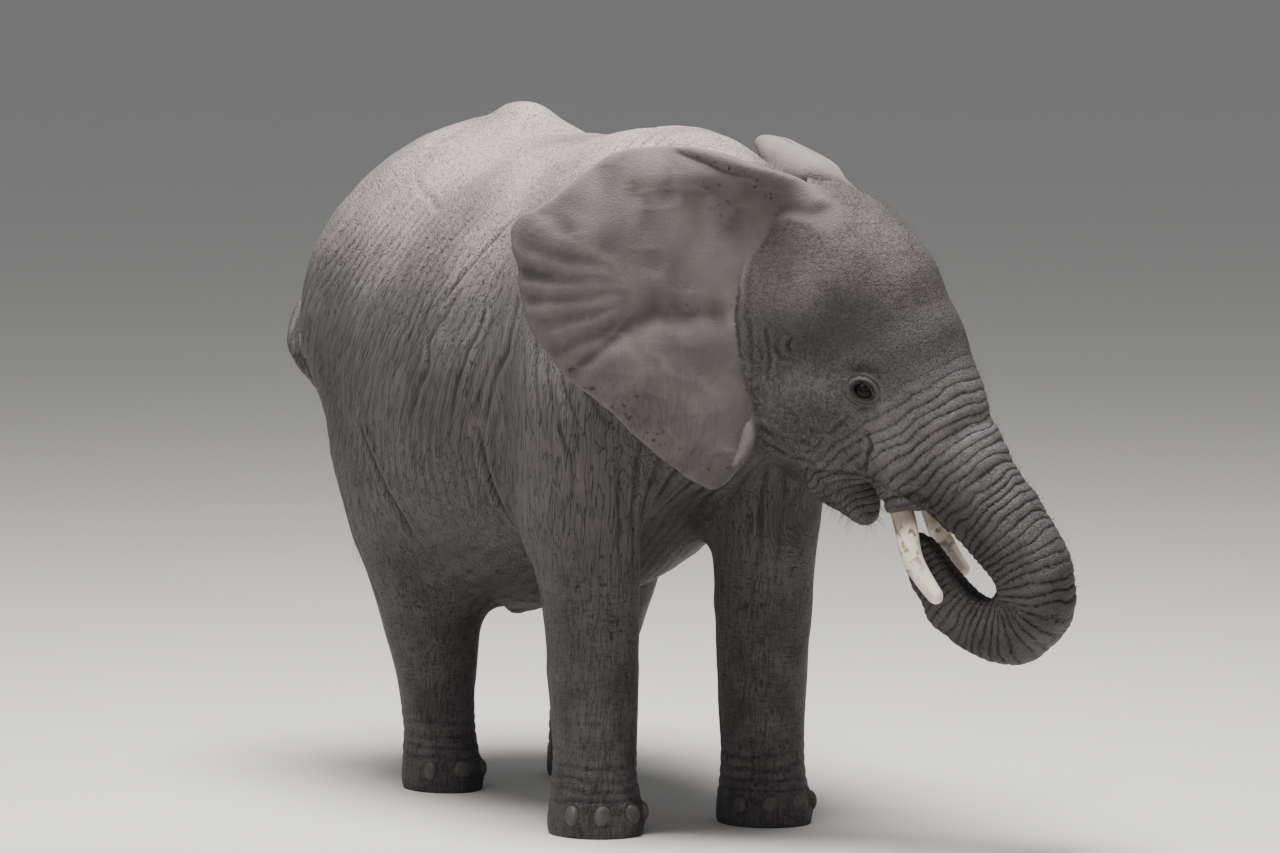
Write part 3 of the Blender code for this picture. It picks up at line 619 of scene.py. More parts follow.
# %% Noise and soft steps, on whole arrays
def hashed(cells, seed):
    """A number from -1 to 1 for each whole-numbered cell (..., 3), the same on every run."""
    x, y, z = (cells[..., k].astype(np.uint32) for k in range(3))
    n = x * np.uint32(73856093) ^ y * np.uint32(19349663) ^ z * np.uint32(83492791)
    n = n ^ np.uint32((seed * 2654435761) % 4294967296)
    for factor in (0x7FEB352D, 0x846CA68B):
        n = (n ^ (n >> np.uint32(15))) * np.uint32(factor)
    return ((n ^ (n >> np.uint32(16))) >> np.uint32(8)) / 8388608.0 - 1.0


def noise(points, size, seed=0):
    """Smooth noise from -1 to 1 with lumps of about `size`, which may differ by axis: the
    hashes of the eight corners round a point, blended by 6t^5 - 15t^4 + 10t^3."""
    p = np.asarray(points, float) / size + 1000.0
    cell = np.floor(p).astype(np.int64)
    t = p - cell
    t = t * t * t * (t * (t * 6 - 15) + 10)
    total = 0.0
    for corner in np.ndindex(2, 2, 2):
        share = np.prod(np.where(np.array(corner) > 0, t, 1 - t), axis=-1)
        total = total + share * hashed(cell + corner, seed)
    return total


def step(low, high, x):
    """0 below `low`, 1 above `high`, and 3t^2 - 2t^3 between."""
    t = np.clip((x - low) / (high - low), 0, 1)
    return t * t * (3 - 2 * t)


def bump(x, middle, width):
    """1 at `middle`, falling away on both sides: exp(-((x - middle) / width)^2)."""
    return np.exp(-(((x - middle) / width) ** 2))


def hump(points, middle, radii):
    """1 at `middle`, falling away all round: exp(-d^2), with d the distance in radii."""
    return np.exp(-(((points - middle) / radii) ** 2).sum(1))


def folds(phase, sharp=0.6):
    """Round ridges between narrow valleys, one to each whole number: |sin(pi phase)|^sharp."""
    return np.abs(np.sin(pi * phase)) ** sharp


def cracks(points, size, seed, width=0.2):
    """Near 1 on a net of lines with meshes of about `size`, where noise passes through zero."""
    return bump(noise(points, size, seed), 0, width)


# %% The sheet of an ear
def ear_relief(reach, height, r, points, seed):
    """How far the flap stands forward of its plain curve: ridges that fan out to the hind
    edge, a soft shelf below the middle, a raised band along the top and fine veins."""
    away = np.hypot(reach - EAR_FAN[0], height - EAR_FAN[1])
    angle = np.arctan2(height - EAR_FAN[1], reach - EAR_FAN[0])
    fan = step(0.03, 0.22, away) * step(-1.15, -0.75, angle) * step(0.85, 0.35, angle)
    wave = np.sin(angle * 25 + 3.0 * noise(points, 0.16, seed) + 0.5)
    crests = wave + 0.35 * wave**2
    ridges = 0.0013 * fan * step(0.0, 0.1, reach) * crests * (1 + 0.6 * noise(points, 0.1, seed + 5))
    shelf = 1.345 - 0.35 * np.clip(reach - 0.22, 0, 1) ** 1.2 * 2.2
    below = 0.011 * bump(height - shelf, -0.03, 0.035) * step(0.0, 0.08, reach) * step(0.42, 0.3, reach)
    band = 0.012 * step(1.60, 1.66, height) * step(-0.1, 0.0, reach) * step(0.34, 0.2, reach)
    hollow = 0.016 * np.exp(-(((height - 1.52) / 0.07) ** 2) - (((reach - 0.03) / 0.07) ** 2))
    veins = 0.0011 * cracks(points, np.array((0.09, 0.09, 0.05)), seed + 4, 0.09)
    lumps = 0.004 * noise(points, 0.12, seed + 7) + 0.0016 * noise(points, 0.045, seed + 8)
    return ridges - below + band - hollow + veins * step(0.1, 0.3, r) + lumps * step(0.0, 0.25, r)


def ear(side, word, columns=150, rows=64):
    """For s round the rim and r from root to rim, the middle of the sheet is
    root(s) + r * (rim(s) - root(s)) + forward * (belly * sin(0.85 pi r) - 0.03 r^3 + relief)."""
    rim = np.array(EAR_RIM)
    gone = lengths_along(rim)
    rim = through(gone, rim, np.linspace(0, gone[-1], columns))
    root = through(np.linspace(0, 1, len(EAR_ROOT)), EAR_ROOT, np.linspace(0, 1, columns))
    spread = np.radians(np.interp(rim[:, 1], EAR_HEIGHTS, EAR_SPREAD[word]))
    zero = np.zeros(columns)
    out = np.stack([side * np.sin(spread), -np.cos(spread), zero], -1) @ HEAD_AXES
    face = np.stack([side * np.cos(spread), np.sin(spread), zero], -1) @ HEAD_AXES
    start = from_head(root * (side, 1, 1))
    hinge = from_head((side * EAR_HINGE[0], EAR_HINGE[1], 0))
    end = np.concatenate([np.repeat(hinge[None, :2], columns, 0), rim[:, 1:]], 1) + out * rim[:, :1]
    r = 1 - (1 - np.linspace(-0.05, 1, rows)) ** 1.15
    r = r[None, :, None]
    plain = start[:, None] + r * (end - start)[:, None]
    seed = 20 if side > 0 else 40
    lobes = 0.006 * noise(plain[:, -1], 0.055, seed + 2) + 0.0035 * noise(plain[:, -1], 0.022, seed + 3)
    lobes = (lobes * step(0.04, 0.15, np.arange(columns) / columns))[:, None, None]
    plain += lobes * out[:, None] * np.clip(r, 0, 1) ** 6
    reach = ((plain - hinge) * out[:, None]).sum(-1)
    q = np.clip(r[..., 0], 0, None)
    dish = EAR_BELLY[word] * np.sin(pi * np.minimum(q * 0.85, 1)) - 0.030 * q**3
    dish = dish + ear_relief(reach, plain[..., 2], q, plain, seed)
    middle = plain + face[:, None] * dish[..., None]
    upright = np.cross(np.gradient(middle, axis=0), np.gradient(middle, axis=1))
    upright /= np.linalg.norm(upright, axis=2)[..., None]
    upright *= np.sign((upright * face[:, None]).sum())
    rounded = np.sqrt(np.clip(1 - (np.clip(q - 0.97, 0, 1) / 0.034) ** 2, 0.02, 1))
    half = 0.5 * (0.026 - 0.0185 * q**0.8) * rounded
    front = middle + upright * half[..., None]
    back = middle - upright * half[..., None]
    return closed(np.concatenate([front, back[:, ::-1]], 1), flat=True)


EAR_ROLLS = {  # thick folds along the ears' tops and at the roots of their lobes: x, y, z, radius
    "left": [
        (0.244, -0.413, 1.712, 0.010),
        (0.246, -0.456, 1.703, 0.025),
        (0.242, -0.523, 1.685, 0.040),
        (0.232, -0.621, 1.663, 0.048),
        (0.223, -0.718, 1.645, 0.051),
        (0.237, -0.772, 1.624, 0.050),
        (0.276, -0.805, 1.594, 0.040),
        (0.319, -0.829, 1.570, 0.022),
    ],
    "right": [
        (-0.222, -0.880, 1.719, 0.010),
        (-0.187, -0.903, 1.706, 0.023),
        (-0.121, -0.936, 1.678, 0.042),
        (-0.052, -0.958, 1.645, 0.057),
        (0.006, -0.976, 1.620, 0.062),
        (0.056, -1.000, 1.594, 0.055),
        (0.104, -1.056, 1.553, 0.036),
    ],
    "right_lobe": [
        (-0.046, -0.945, 1.068, 0.010),
        (-0.056, -0.961, 1.032, 0.017),
        (-0.061, -0.967, 1.007, 0.021),
        (-0.071, -0.969, 0.983, 0.020),
        (-0.087, -0.969, 0.958, 0.015),
        (-0.103, -0.968, 0.934, 0.007),
    ],
}
lobe = np.array(EAR_ROLLS["right_lobe"])
EAR_ROLLS["left_lobe"] = np.column_stack([from_head(in_head(lobe[:, :3]) * (-1, 1, 1)), lobe[:, 3]]).tolist()


def ear_roll(word):
    """The muscle and skin that join the edge of an ear to the neck, the crown or the cheek."""
    rows = [(x, y, z, r, r, 1.3 * r) for x, y, z, r in EAR_ROLLS[word]]
    return tube(rows, steps=50, sides=24, caps=(0.03, 0.02))


EARS = {word: ear(side, word) for side, word in SIDES}
print("an ear:", len(EARS["right"][1]), "triangles")

# %% [markdown]
# ## The whole skin
# The flesh and the tail are remeshed once more, finely. A Boolean cuts the soles flat and
# joins the ears on, so that the skin is one closed surface from the rims of the ears to the
# tip of the tail. The joint at the ear's root is then relaxed into a soft fold.


# %% Joining flesh, tail and ears
FINE = 0.0064  # width of a face of the skin before it is thinned out


def combined(mesh, body, operation, kind=0):
    """The mesh with a closed body cut away or joined on. The body's faces get material `kind`."""
    obj, other = show(mesh), show(mesh_of("other", *body))
    for one in (obj, other):
        for name in ("plain", "ear"):
            one.data.materials.append(bpy.data.materials.get(name) or bpy.data.materials.new(name))
    if kind:
        other.data.polygons.foreach_set("material_index", np.full(len(body[1]), kind, np.int32))
    cut = obj.modifiers.new("cut", "BOOLEAN")
    cut.operation = operation
    cut.solver = "MANIFOLD"
    cut.object = other
    made = evaluated(obj)
    bpy.data.objects.remove(other)
    return made


def ear_share(mesh):
    """1 at the points of faces that came with an ear, else 0."""
    kind = read(mesh.polygons, "material_index", kind=np.int32)
    count = read(mesh.polygons, "loop_total", kind=np.int32)
    corner = read(mesh.loops, "vertex_index", kind=np.int32)
    share = np.zeros(len(mesh.vertices))
    share[corner[np.repeat(kind, count) == 1]] = 1
    return share


def plain_skin():
    """Flesh, tail and the rolls at the ears in one fine surface, with flat soles and both ears joined on."""
    mesh = fused("skin", [FLESH, tail_mass(), *(ear_roll(word) for word in EAR_ROLLS)], FINE)
    settle(mesh, 4, 0.5, 0.5)
    settle(mesh, 3, 0.8, 0.1)
    corners = np.array([(x, y, z) for x in (-2, 2) for y in (-2, 2) for z in (-1, 0)], float)
    quads = np.array([(0, 1, 3, 2), (4, 6, 7, 5), (0, 4, 5, 1), (2, 3, 7, 6), (0, 2, 6, 4), (1, 5, 7, 3)])
    ground = facing_out(corners, np.concatenate([quads[:, [0, 1, 2]], quads[:, [0, 2, 3]]]))
    mesh = combined(mesh, ground, "DIFFERENCE")
    for word in EARS:
        mesh = combined(mesh, EARS[word], "UNION", 1)
    share = ear_share(mesh)
    joint = spread(mesh, share, 5)
    settle(mesh, 6, 0.7, 0.2, (4 * joint * (1 - joint))[:, None])
    return mesh


SKIN = plain_skin()
print("plain skin:", len(SKIN.vertices), "points,", len(SKIN.polygons), "faces")

# %% [markdown]
# ## Eyes
# An elephant's eye is small and sits under a heavy brow. The skin inside the lids' opening
# drops behind the ball. Round it the skin stands over the ball as two thick lids, the upper
# one heavier, with creases that circle the eye.

# %% More points round the eyes
EYES = {word: np.mean([np.array(corner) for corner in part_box("eye_" + word)], 0) - SHIFT for _, word in SIDES}
EYE_RADIUS = (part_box("eye_right")[1][2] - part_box("eye_right")[0][2]) / 2
EYE_SLANT = radians(25)  # how far the opening's long axis dips toward the front


def eye_axes(side):
    """Rows: along the opening toward the front, across it upwards, and out of the head."""
    out = np.array((side * 0.5, 0.03, 0)) / np.hypot(0.5, 0.03)
    front = np.array((-out[1] * side, out[0] * side, 0))
    up = np.array((0, 0, 1.0))
    along = cos(EYE_SLANT) * front - sin(EYE_SLANT) * up
    across = sin(EYE_SLANT) * front + cos(EYE_SLANT) * up
    return np.stack([along, across, out]) @ HEAD_AXES


def at_eye(points, side, word):
    """The points in an eye's frame: along its opening, across it, and out of the head."""
    return (points - EYES[word]) @ eye_axes(side).T


def beside_eye(local, reach):
    """Whether each point in an eye's frame is within `reach` of its middle line, and near the skin."""
    return (np.hypot(local[:, 0], local[:, 1]) < reach) & (local[:, 2] > -0.02) & (local[:, 2] < 0.06)


def refined(mesh):
    """Cuts each face's sides in four round the eyes."""
    points = points_of(mesh)
    near = np.zeros(len(points), bool)
    for side, word in SIDES:
        near |= beside_eye(at_eye(points, side, word), 0.045)
    grid = bmesh.new()
    grid.from_mesh(mesh)
    grid.verts.ensure_lookup_table()
    marked = set(np.flatnonzero(near).tolist())
    edges = [edge for edge in grid.edges if edge.verts[0].index in marked and edge.verts[1].index in marked]
    bmesh.ops.subdivide_edges(grid, edges=edges, cuts=3, use_grid_fill=True)
    bmesh.ops.triangulate(grid, faces=grid.faces)
    grid.to_mesh(mesh)
    grid.free()
    return mesh


SKIN = refined(SKIN)
IS_EAR = ear_share(SKIN)
print("with fine eyes:", len(SKIN.polygons), "triangles, ears", int(IS_EAR.sum()), "points")


# %% Lids
LID_LENGTH = 0.92 * EYE_RADIUS  # the half sizes of the opening
LID_ABOVE = 0.72 * EYE_RADIUS
LID_BELOW = 0.64 * EYE_RADIUS
LID_AREA = 0.056  # how far from the eye's middle line the lids shape the skin
LID_OVER = 0.0028  # the height of the lids over the ball
BALL_OVER = 0.003  # the depth of the skin under the ball's surface, inside the opening


def opening(local):
    """How far outside the lids' margin each point lies: (e - 1) * half height, with
    e = ((a / length)^2 + (b / height)^2)^0.5."""
    height = np.where(local[:, 1] > 0, LID_ABOVE, LID_BELOW)
    return (np.hypot(local[:, 0] / LID_LENGTH, local[:, 1] / height) - 1) * height


def with_lids(points, side, word):
    """The skin's points with the lids shaped round one eye. Beyond the margin the skin is
    the higher of a shell over the ball and the old skin with folds. Inside it drops to
    BALL_OVER under the ball's surface."""
    local = at_eye(points, side, word)
    near = beside_eye(local, LID_AREA)
    spot = local[near]
    reach = np.hypot(spot[:, 0], spot[:, 1])
    away = opening(spot)
    ball = np.sqrt(np.clip(EYE_RADIUS**2 - reach**2, 0, None))
    shell = np.sqrt(np.clip((EYE_RADIUS + LID_OVER) ** 2 - reach**2, 0, None))
    leaf = spot / (1 + 0.9 * step(0.0, -0.03, spot[:, :1]) * (1, 0, 0))
    ripple = folds(opening(leaf) / 0.0047 + 0.25 * noise(spot, 0.02, 95), 0.7) - 0.7
    ripple = 0.0019 * ripple * step(0.003, 0.007, away) * step(0.040, 0.024, reach * 0.8)
    upper = 0.0042 * bump(away, 0.0075, 0.0055) - 0.0036 * bump(away, 0.0165, 0.0026)
    upper += 0.003 * bump(away, 0.0225, 0.004) - 0.0015 * bump(away, 0.030, 0.003)
    lower = 0.0030 * bump(away, 0.0055, 0.0042) - 0.0026 * bump(away, 0.0125, 0.0020)
    lower += (
        0.0014 * bump(away, 0.0165, 0.002)
        - 0.0020 * bump(away, 0.0205, 0.0022)
        - 0.0014 * bump(away, 0.029, 0.0025)
    )
    share = step(-0.006, 0.004, spot[:, 1])
    skin = spot[:, 2] + 0.55 * (share * upper + (1 - share) * lower) + ripple
    lid = np.maximum(shell, skin) + 0.0012 * np.exp(-np.abs(shell - skin) / 0.002)
    made = (ball - BALL_OVER) + step(-0.0012, 0.0010, away) * (lid - ball + BALL_OVER)
    faded = step(LID_AREA, 0.044, reach)
    spot[:, 2] += faded * (made - spot[:, 2])
    points = points.copy()
    points[near] = spot @ eye_axes(side) + EYES[word]
    return points


# %% [markdown]
# ## Folds and wrinkles
# Elephant hide is thick and barely stretches, so it folds where the animal moves. The trunk
# has rings, the flank has slanting lines, the chest has hanging drapes, and the elbow, groin
# and ankle have deep creases. Folds of about 1 cm and more are shaped here, by moving the
# skin's points along their normals. The finer lines and cracks are left to the material,
# because they would take millions of faces.

# %% Regions of the body, as numbers from 0 to 1
gone = lengths_along(np.array(TRUNK)[:, :2])
TRUNK_LINE = through(gone, TRUNK, np.linspace(0, gone[-1], 220))
TRUNK_GONE = lengths_along(TRUNK_LINE[:, :2])


def along_trunk(head):
    """How far down the trunk's middle line each point lies, and how far off it on the outer
    side of the curl. Points far from the trunk get 0 and 0."""
    near = (head[:, 1] > 0.12) & (head[:, 2] < 0.25)
    spots = head[near, 1:]
    away = ((spots[:, None] - TRUNK_LINE[None, :, :2]) ** 2).sum(-1)
    best = away.argmin(1)
    way = np.gradient(TRUNK_LINE[:, :2], TRUNK_GONE, axis=0)
    way /= np.linalg.norm(way, axis=1)[:, None]
    off = spots - TRUNK_LINE[best, :2]
    gone, out = np.zeros(len(head)), np.zeros(len(head))
    gone[near] = TRUNK_GONE[best] + (off * way[best]).sum(1)
    out[near] = off[:, 1] * way[best, 0] - off[:, 0] * way[best, 1]
    return gone, out


def regions(points, normals):
    """Where each kind of skin is. Every entry is an array with a number for each point."""
    _, y, z = points.T
    head = in_head(points)
    gone, out = along_trunk(head)
    left, forward, up = head.T
    behind_curl = step(-0.30, -0.36, up) * step(0.30, 0.26, forward) * step(0.12, 0.05, out + 0.2)
    on_trunk = step(0.20, 0.34, gone) * (1 - behind_curl)
    high_or_in_front = np.maximum(step(-0.62, -0.50, up), step(0.22, 0.30, forward))
    on_head = step(-0.14, 0.02, forward) * step(1.0, 0.7, np.abs(left) * 2.4) * high_or_in_front
    leg = step(0.78, 0.60, z) * (1 - on_head)
    side = np.abs(normals[:, 0])
    sides = step(0.25, 0.6, side) * step(0.66, 0.86, z) * step(1.62, 1.42, z)
    flank = sides * step(-0.42, -0.25, y) * (1 - on_head)
    above = step(0.2, 0.85, normals[:, 2])
    return {
        "head": head,
        "gone": gone,
        "out": out,
        "trunk": on_trunk * on_head,
        "on_head": np.maximum(on_head, on_trunk * (forward > 0.3)),
        "leg": leg,
        "flank": flank,
        "above": above,
    }


FAR = 9.0  # stands for any distance too great to matter


def away_from(points, path):
    """The distance of each point from a line through the path's points, worked out only for
    points near the path, and how far along the path the nearest place is, from 0 to 1."""
    path = np.asarray(path, float)
    near = ((points > path.min(0) - 0.1) & (points < path.max(0) + 0.1)).all(1)
    spots = points[near]
    best = np.full(len(spots), FAR)
    share = np.zeros(len(spots))
    for k in range(len(path) - 1):
        way = path[k + 1] - path[k]
        t = np.clip(((spots - path[k]) @ way) / (way @ way), 0, 1)
        d = np.linalg.norm(spots - path[k] - t[:, None] * way, axis=1)
        share = np.where(d < best, (k + t) / (len(path) - 1), share)
        best = np.minimum(d, best)
    away, along = np.full(len(points), FAR), np.zeros(len(points))
    away[near], along[near] = best, share
    return away, along


def groove(points, path, depth, width):
    """A crease along a path with a soft lip on both sides:
    depth * sin(pi share)^0.5 * (0.45 exp(-((d - 1.9 w) / w)^2) - exp(-(d / w)^2))."""
    away, along = away_from(points, path)
    shape = 0.45 * bump(away, 1.9 * width, width) - bump(away, 0, width)
    return depth * shape * np.sqrt(np.clip(np.sin(pi * (0.04 + 0.92 * along)), 0, 1))


# %% Creases with a place of their own
BODY_CREASES = [  # depth, width, path on the right side (x, y, z from the middle of the feet)
    (0.010, 0.012, ((-0.434, -0.217, 0.992), (-0.40, -0.200, 0.90),
                    (-0.363, -0.195, 0.812), (-0.30, -0.20, 0.74))),
    (0.0045, 0.009, ((-0.451, -0.101, 1.311), (-0.485, -0.042, 1.205),
                     (-0.493, -0.045, 1.14), (-0.492, 0.111, 0.942))),
    (0.0045, 0.009, ((-0.424, -0.239, 1.318), (-0.438, -0.244, 1.254),
                     (-0.469, -0.162, 1.10), (-0.448, -0.042, 0.881))),
    (0.0045, 0.009, ((-0.395, -0.364, 1.325), (-0.418, -0.354, 1.199), (-0.432, -0.253, 1.035))),
    (0.005, 0.010, ((-0.324, -0.236, 1.53), (-0.41, -0.13, 1.40), (-0.469, -0.047, 1.281))),
    (0.004, 0.009, ((-0.362, -0.233, 0.805), (-0.358, -0.442, 0.569))),
    (0.004, 0.009, ((-0.389, -0.565, 1.096), (-0.37, -0.58, 0.99), (-0.344, -0.591, 0.884))),
    (0.009, 0.014, ((-0.49, 0.36, 0.98), (-0.475, 0.315, 0.85), (-0.43, 0.29, 0.74), (-0.34, 0.28, 0.65))),
    (0.004, 0.010, ((-0.462, 0.578, 0.793), (-0.42, 0.54, 0.62), (-0.387, 0.487, 0.48))),
    (0.004, 0.010, ((-0.321, 0.407, 1.592), (-0.35, 0.28, 1.56), (-0.362, 0.161, 1.527))),
    (0.007, 0.014, ((-0.10, 0.93, 1.20), (-0.13, 0.93, 1.0), (-0.12, 0.90, 0.80))),
]
HEAD_CREASES = [  # depth, width, path on the right side (left, forward, up in the head's frame)
    (0.012, 0.009, ((-0.205, -0.008, 0.21), (-0.209, -0.017, 0.118),
                    (-0.211, -0.019, 0.04), (-0.205, -0.015, -0.05))),
    (0.0035, 0.006, ((-0.202, 0.019, 0.034), (-0.195, 0.018, -0.04), (-0.191, 0.020, -0.113))),
    (0.0035, 0.006, ((-0.191, 0.054, 0.010), (-0.187, 0.058, -0.05), (-0.183, 0.059, -0.112))),
    (0.0045, 0.007, ((-0.177, 0.010, -0.224), (-0.165, 0.08, -0.25), (-0.152, 0.156, -0.27))),
    (0.0040, 0.006, ((-0.17, 0.03, -0.265), (-0.15, 0.10, -0.295), (-0.13, 0.17, -0.32))),
    (0.0060, 0.008, ((-0.157, 0.305, -0.235), (-0.153, 0.316, -0.276), (-0.129, 0.29, -0.34))),
    (0.0035, 0.006, ((-0.174, 0.267, -0.184), (-0.164, 0.227, -0.218), (-0.158, 0.207, -0.236))),
    (0.0050, 0.006, ((-0.182, 0.112, -0.040), (-0.185, 0.108, -0.022), (-0.187, 0.120, -0.006))),
    (0.0030, 0.006, ((-0.187, 0.135, -0.055), (-0.186, 0.09, -0.06), (-0.188, 0.07, -0.03))),
    (0.0040, 0.008, ((-0.150, 0.215, -0.330), (-0.145, 0.25, -0.325), (-0.129, 0.282, -0.323))),
]


def on_right(points):
    """The points, with those of the left side mirrored to the right."""
    right = points.copy()
    right[:, 0] = -np.abs(right[:, 0])
    return right


def creases(points, table):
    """All the creases of a table, on both sides, with their lines made a little wavy."""
    right = on_right(points)
    wavy = np.stack([noise(points, 0.05, 60 + k) for k in range(3)], 1) * 0.006
    total = 0.0
    for depth, width, path in table:
        total = total + groove(right + wavy, path, depth, width)
    return total


# %% Folds that fill a region
RING_SPACING = ((0.0, 0.032), (0.30, 0.029), (0.60, 0.023), (0.9, 0.021), (2.0, 0.017))
places = np.linspace(0, 1.6, 400)
RING_COUNT = np.concatenate([[0], np.cumsum(np.diff(places) / np.interp(places[1:], *zip(*RING_SPACING)))])


def trunk_relief(points, found):
    """Rings across the trunk, closer toward the tip, with bulges between narrow valleys. The
    outer edge is lumpy, and the inner side has a gutter between two ridges."""
    gone, out, left = found["gone"], found["out"], found["head"][:, 0]
    rows = np.clip(np.searchsorted(TRUNK_GONE, gone), 0, len(TRUNK_LINE) - 1)
    half = TRUNK_LINE[rows, 2]
    found["sway"] = 0.012 * noise(points, 0.07, 70) + 0.004 * noise(points, 0.03, 71)
    phase = np.interp(gone + found["sway"], places, RING_COUNT)
    height = np.interp(gone, (0.25, 0.5, 1.0, 1.3), (0.0032, 0.0055, 0.0050, 0.0038))
    height = height * (0.75 + 0.4 * noise(points, np.array((0.11, 0.11, 0.05)), 72))
    rings = height * (folds(phase, 0.55) - 0.75)
    fine = 0.0016 * (folds(phase * 2.0 + 0.3 + noise(points, 0.05, 73), 0.6) - 0.7)
    lumps = 0.0045 * noise(np.stack([gone, 0 * gone, 0 * gone], 1), 0.046, 74) * step(0.2, 0.8, out / half)
    inner = step(-0.25, -0.8, out / half)
    across = left / half
    gutter = inner * (0.008 * bump(np.abs(across), 0.62, 0.22) - 0.016 * bump(across, 0, 0.38))
    lengthwise = folds((left + 0.006 * noise(points, 0.05, 75)) / 0.017, 0.6) - 0.75
    lattice = 0.0011 * lengthwise * step(0.75, 0.45, gone)
    tip = TRUNK_GONE[-1] + 0.02
    nostrils = np.hypot(np.abs(left) - 0.013, out) + 0.4 * np.abs(gone - tip)
    holes = 0.016 * bump(nostrils, 0, 0.008) * step(tip - 0.04, tip - 0.01, gone)
    return found["trunk"] * (rings + fine + lumps + lattice + gutter * step(0.45, 0.7, gone) - holes)


def body_relief(points, normals, found):
    """Slanting lines on the flank, drapes on the chest and neck, rings at the ankles, and
    soft lumps everywhere."""
    x, y, z = points.T
    free = 1 - np.maximum(found["on_head"], found["trunk"])
    bend = 0.030 * noise(points, 0.25, 80) + 0.010 * noise(points, 0.09, 81)
    lines = folds((y + 0.45 * (z - 0.8) + bend) / 0.043, 0.5) - 0.75
    flank = 0.0038 * found["flank"] * (0.75 + 0.5 * noise(points, 0.17, 82)) * lines
    chest = step(-0.44, -0.58, y) * step(0.62, 0.75, z) * step(1.18, 0.98, z) * step(0.30, 0.2, np.abs(x))
    drapes = 0.0075 * chest * (folds((x + 0.02 * noise(points, 0.12, 83) + 0.06 * z) / 0.052, 0.55) - 0.7)
    neck = step(-0.36, -0.50, y) * step(0.95, 1.05, z) * step(0.2, 0.5, np.abs(normals[:, 0])) * free
    wraps = 0.0050 * neck * (folds((y - 0.35 * (z - 1.2) + bend) / 0.050, 0.5) - 0.72)
    foot = step(0.24, 0.17, z) * step(0.05, 0.08, z)
    rings = 0.0032 * foot * (folds((z + 0.012 * noise(points, 0.07, 84)) / 0.030, 0.6) - 0.7)
    round_leg = np.arctan2(y - np.where(y < 0, FORE_Y, HIND_Y), x) * 0.13
    leg_lines = folds((round_leg + bend * 0.5) / 0.030, 0.6) - 0.75
    legs = 0.0012 * found["leg"] * step(0.2, 0.3, z) * leg_lines
    lumps = 0.0035 * noise(points, 0.13, 85) + 0.0016 * noise(points, 0.05, 86)
    belly = 0.0022 * step(-0.3, -0.7, normals[:, 2]) * step(0.4, 0.5, z)
    ripples = belly * (folds((x + bend) / 0.035, 0.6) - 0.7)
    shaped_folds = flank + drapes + wraps + rings + legs + ripples
    return free * shaped_folds + lumps * step(0.03, 0.1, z) + cuticles(points)


def cuticles(points):
    """A soft rim of skin round each nail: 3.5 mm * exp(-((d - 1.16) / 0.13)^2), with d the
    distance from the nail's middle in its own radii."""
    low = points[:, 2] < 0.12
    rim = np.zeros(int(low.sum()))
    for name in NODES:
        if name.startswith("nail"):
            corners = np.array(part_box(name)) - SHIFT
            radii = (corners[1] - corners[0]) / 2
            away = np.linalg.norm((points[low] - corners.mean(0)) / radii, axis=1)
            rim = np.maximum(rim, 0.0035 * bump(away, 1.16, 0.13))
    total = np.zeros(len(points))
    total[low] = rim
    return total


def head_relief(points, found):
    """Hollow temples, arcs round the eyes, folds of the cheeks and a rim at each tusk."""
    head = found["head"]
    right = on_right(head)
    eye = np.array((-0.17, 0.291, -0.116))
    near_eye = np.linalg.norm(right - eye, axis=1)
    socket = -0.009 * hump(right, (-0.172, 0.30, -0.085), (0.05, 0.045, 0.022))
    below = -0.004 * hump(right, (-0.172, 0.275, -0.165), (0.05, 0.06, 0.02))
    temple = -0.010 * hump(right, (-0.19, 0.09, 0.13), (0.08, 0.055, 0.09))
    ring = near_eye + 0.004 * noise(points, 0.04, 90)
    arcs = -0.0016 * bump(ring, 0.047, 0.0035) - 0.0014 * bump(ring, 0.060, 0.004)
    arcs = arcs * step(0.02, -0.03, right[:, 2] - eye[2])
    exit_away = np.linalg.norm((right - TUSK_EXIT * (-1, 1, 1)) * (1, 1, 0.8), axis=1)
    rim = 0.006 * bump(exit_away, 0.048, 0.010) - 0.005 * bump(exit_away, 0.070, 0.010)
    cheek = step(0.05, -0.15, head[:, 2]) * step(0.40, 0.30, head[:, 1])
    hatch = -0.0016 * cracks(points, np.array((0.024, 0.024, 0.016)), 91, 0.16) * cheek
    crown = -0.0008 * cracks(points, 0.022, 92, 0.15) * step(-0.1, 0.1, head[:, 2])
    inside = found["on_head"] * (1 - 0.8 * found["trunk"])
    marks = socket + below + temple + arcs + hatch + crown
    return inside * marks + rim * found["on_head"] + creases(head, HEAD_CREASES)


# %% Moving the skin, and what the materials need to know of it
def write_field(mesh, name, values):
    """Writes one number, or a vector, for each point as a named attribute for the shaders."""
    kind, key = ("FLOAT", "value") if values.ndim == 1 else ("FLOAT_VECTOR", "vector")
    field = mesh.attributes.new(name, kind, "POINT")
    field.data.foreach_set(key, np.ascontiguousarray(values, np.float32).ravel())


# Height with the lower body squeezed, which draws wrinkles out. At 1.25 m it is the true one.
HEIGHTS = np.linspace(0, 2, 201)
DRAWN = np.concatenate([[0], np.cumsum(np.diff(HEIGHTS) * (0.14 + 0.86 * step(1.30, 1.55, HEIGHTS[1:])))])
DRAWN += 1.25 - np.interp(1.25, HEIGHTS, DRAWN)


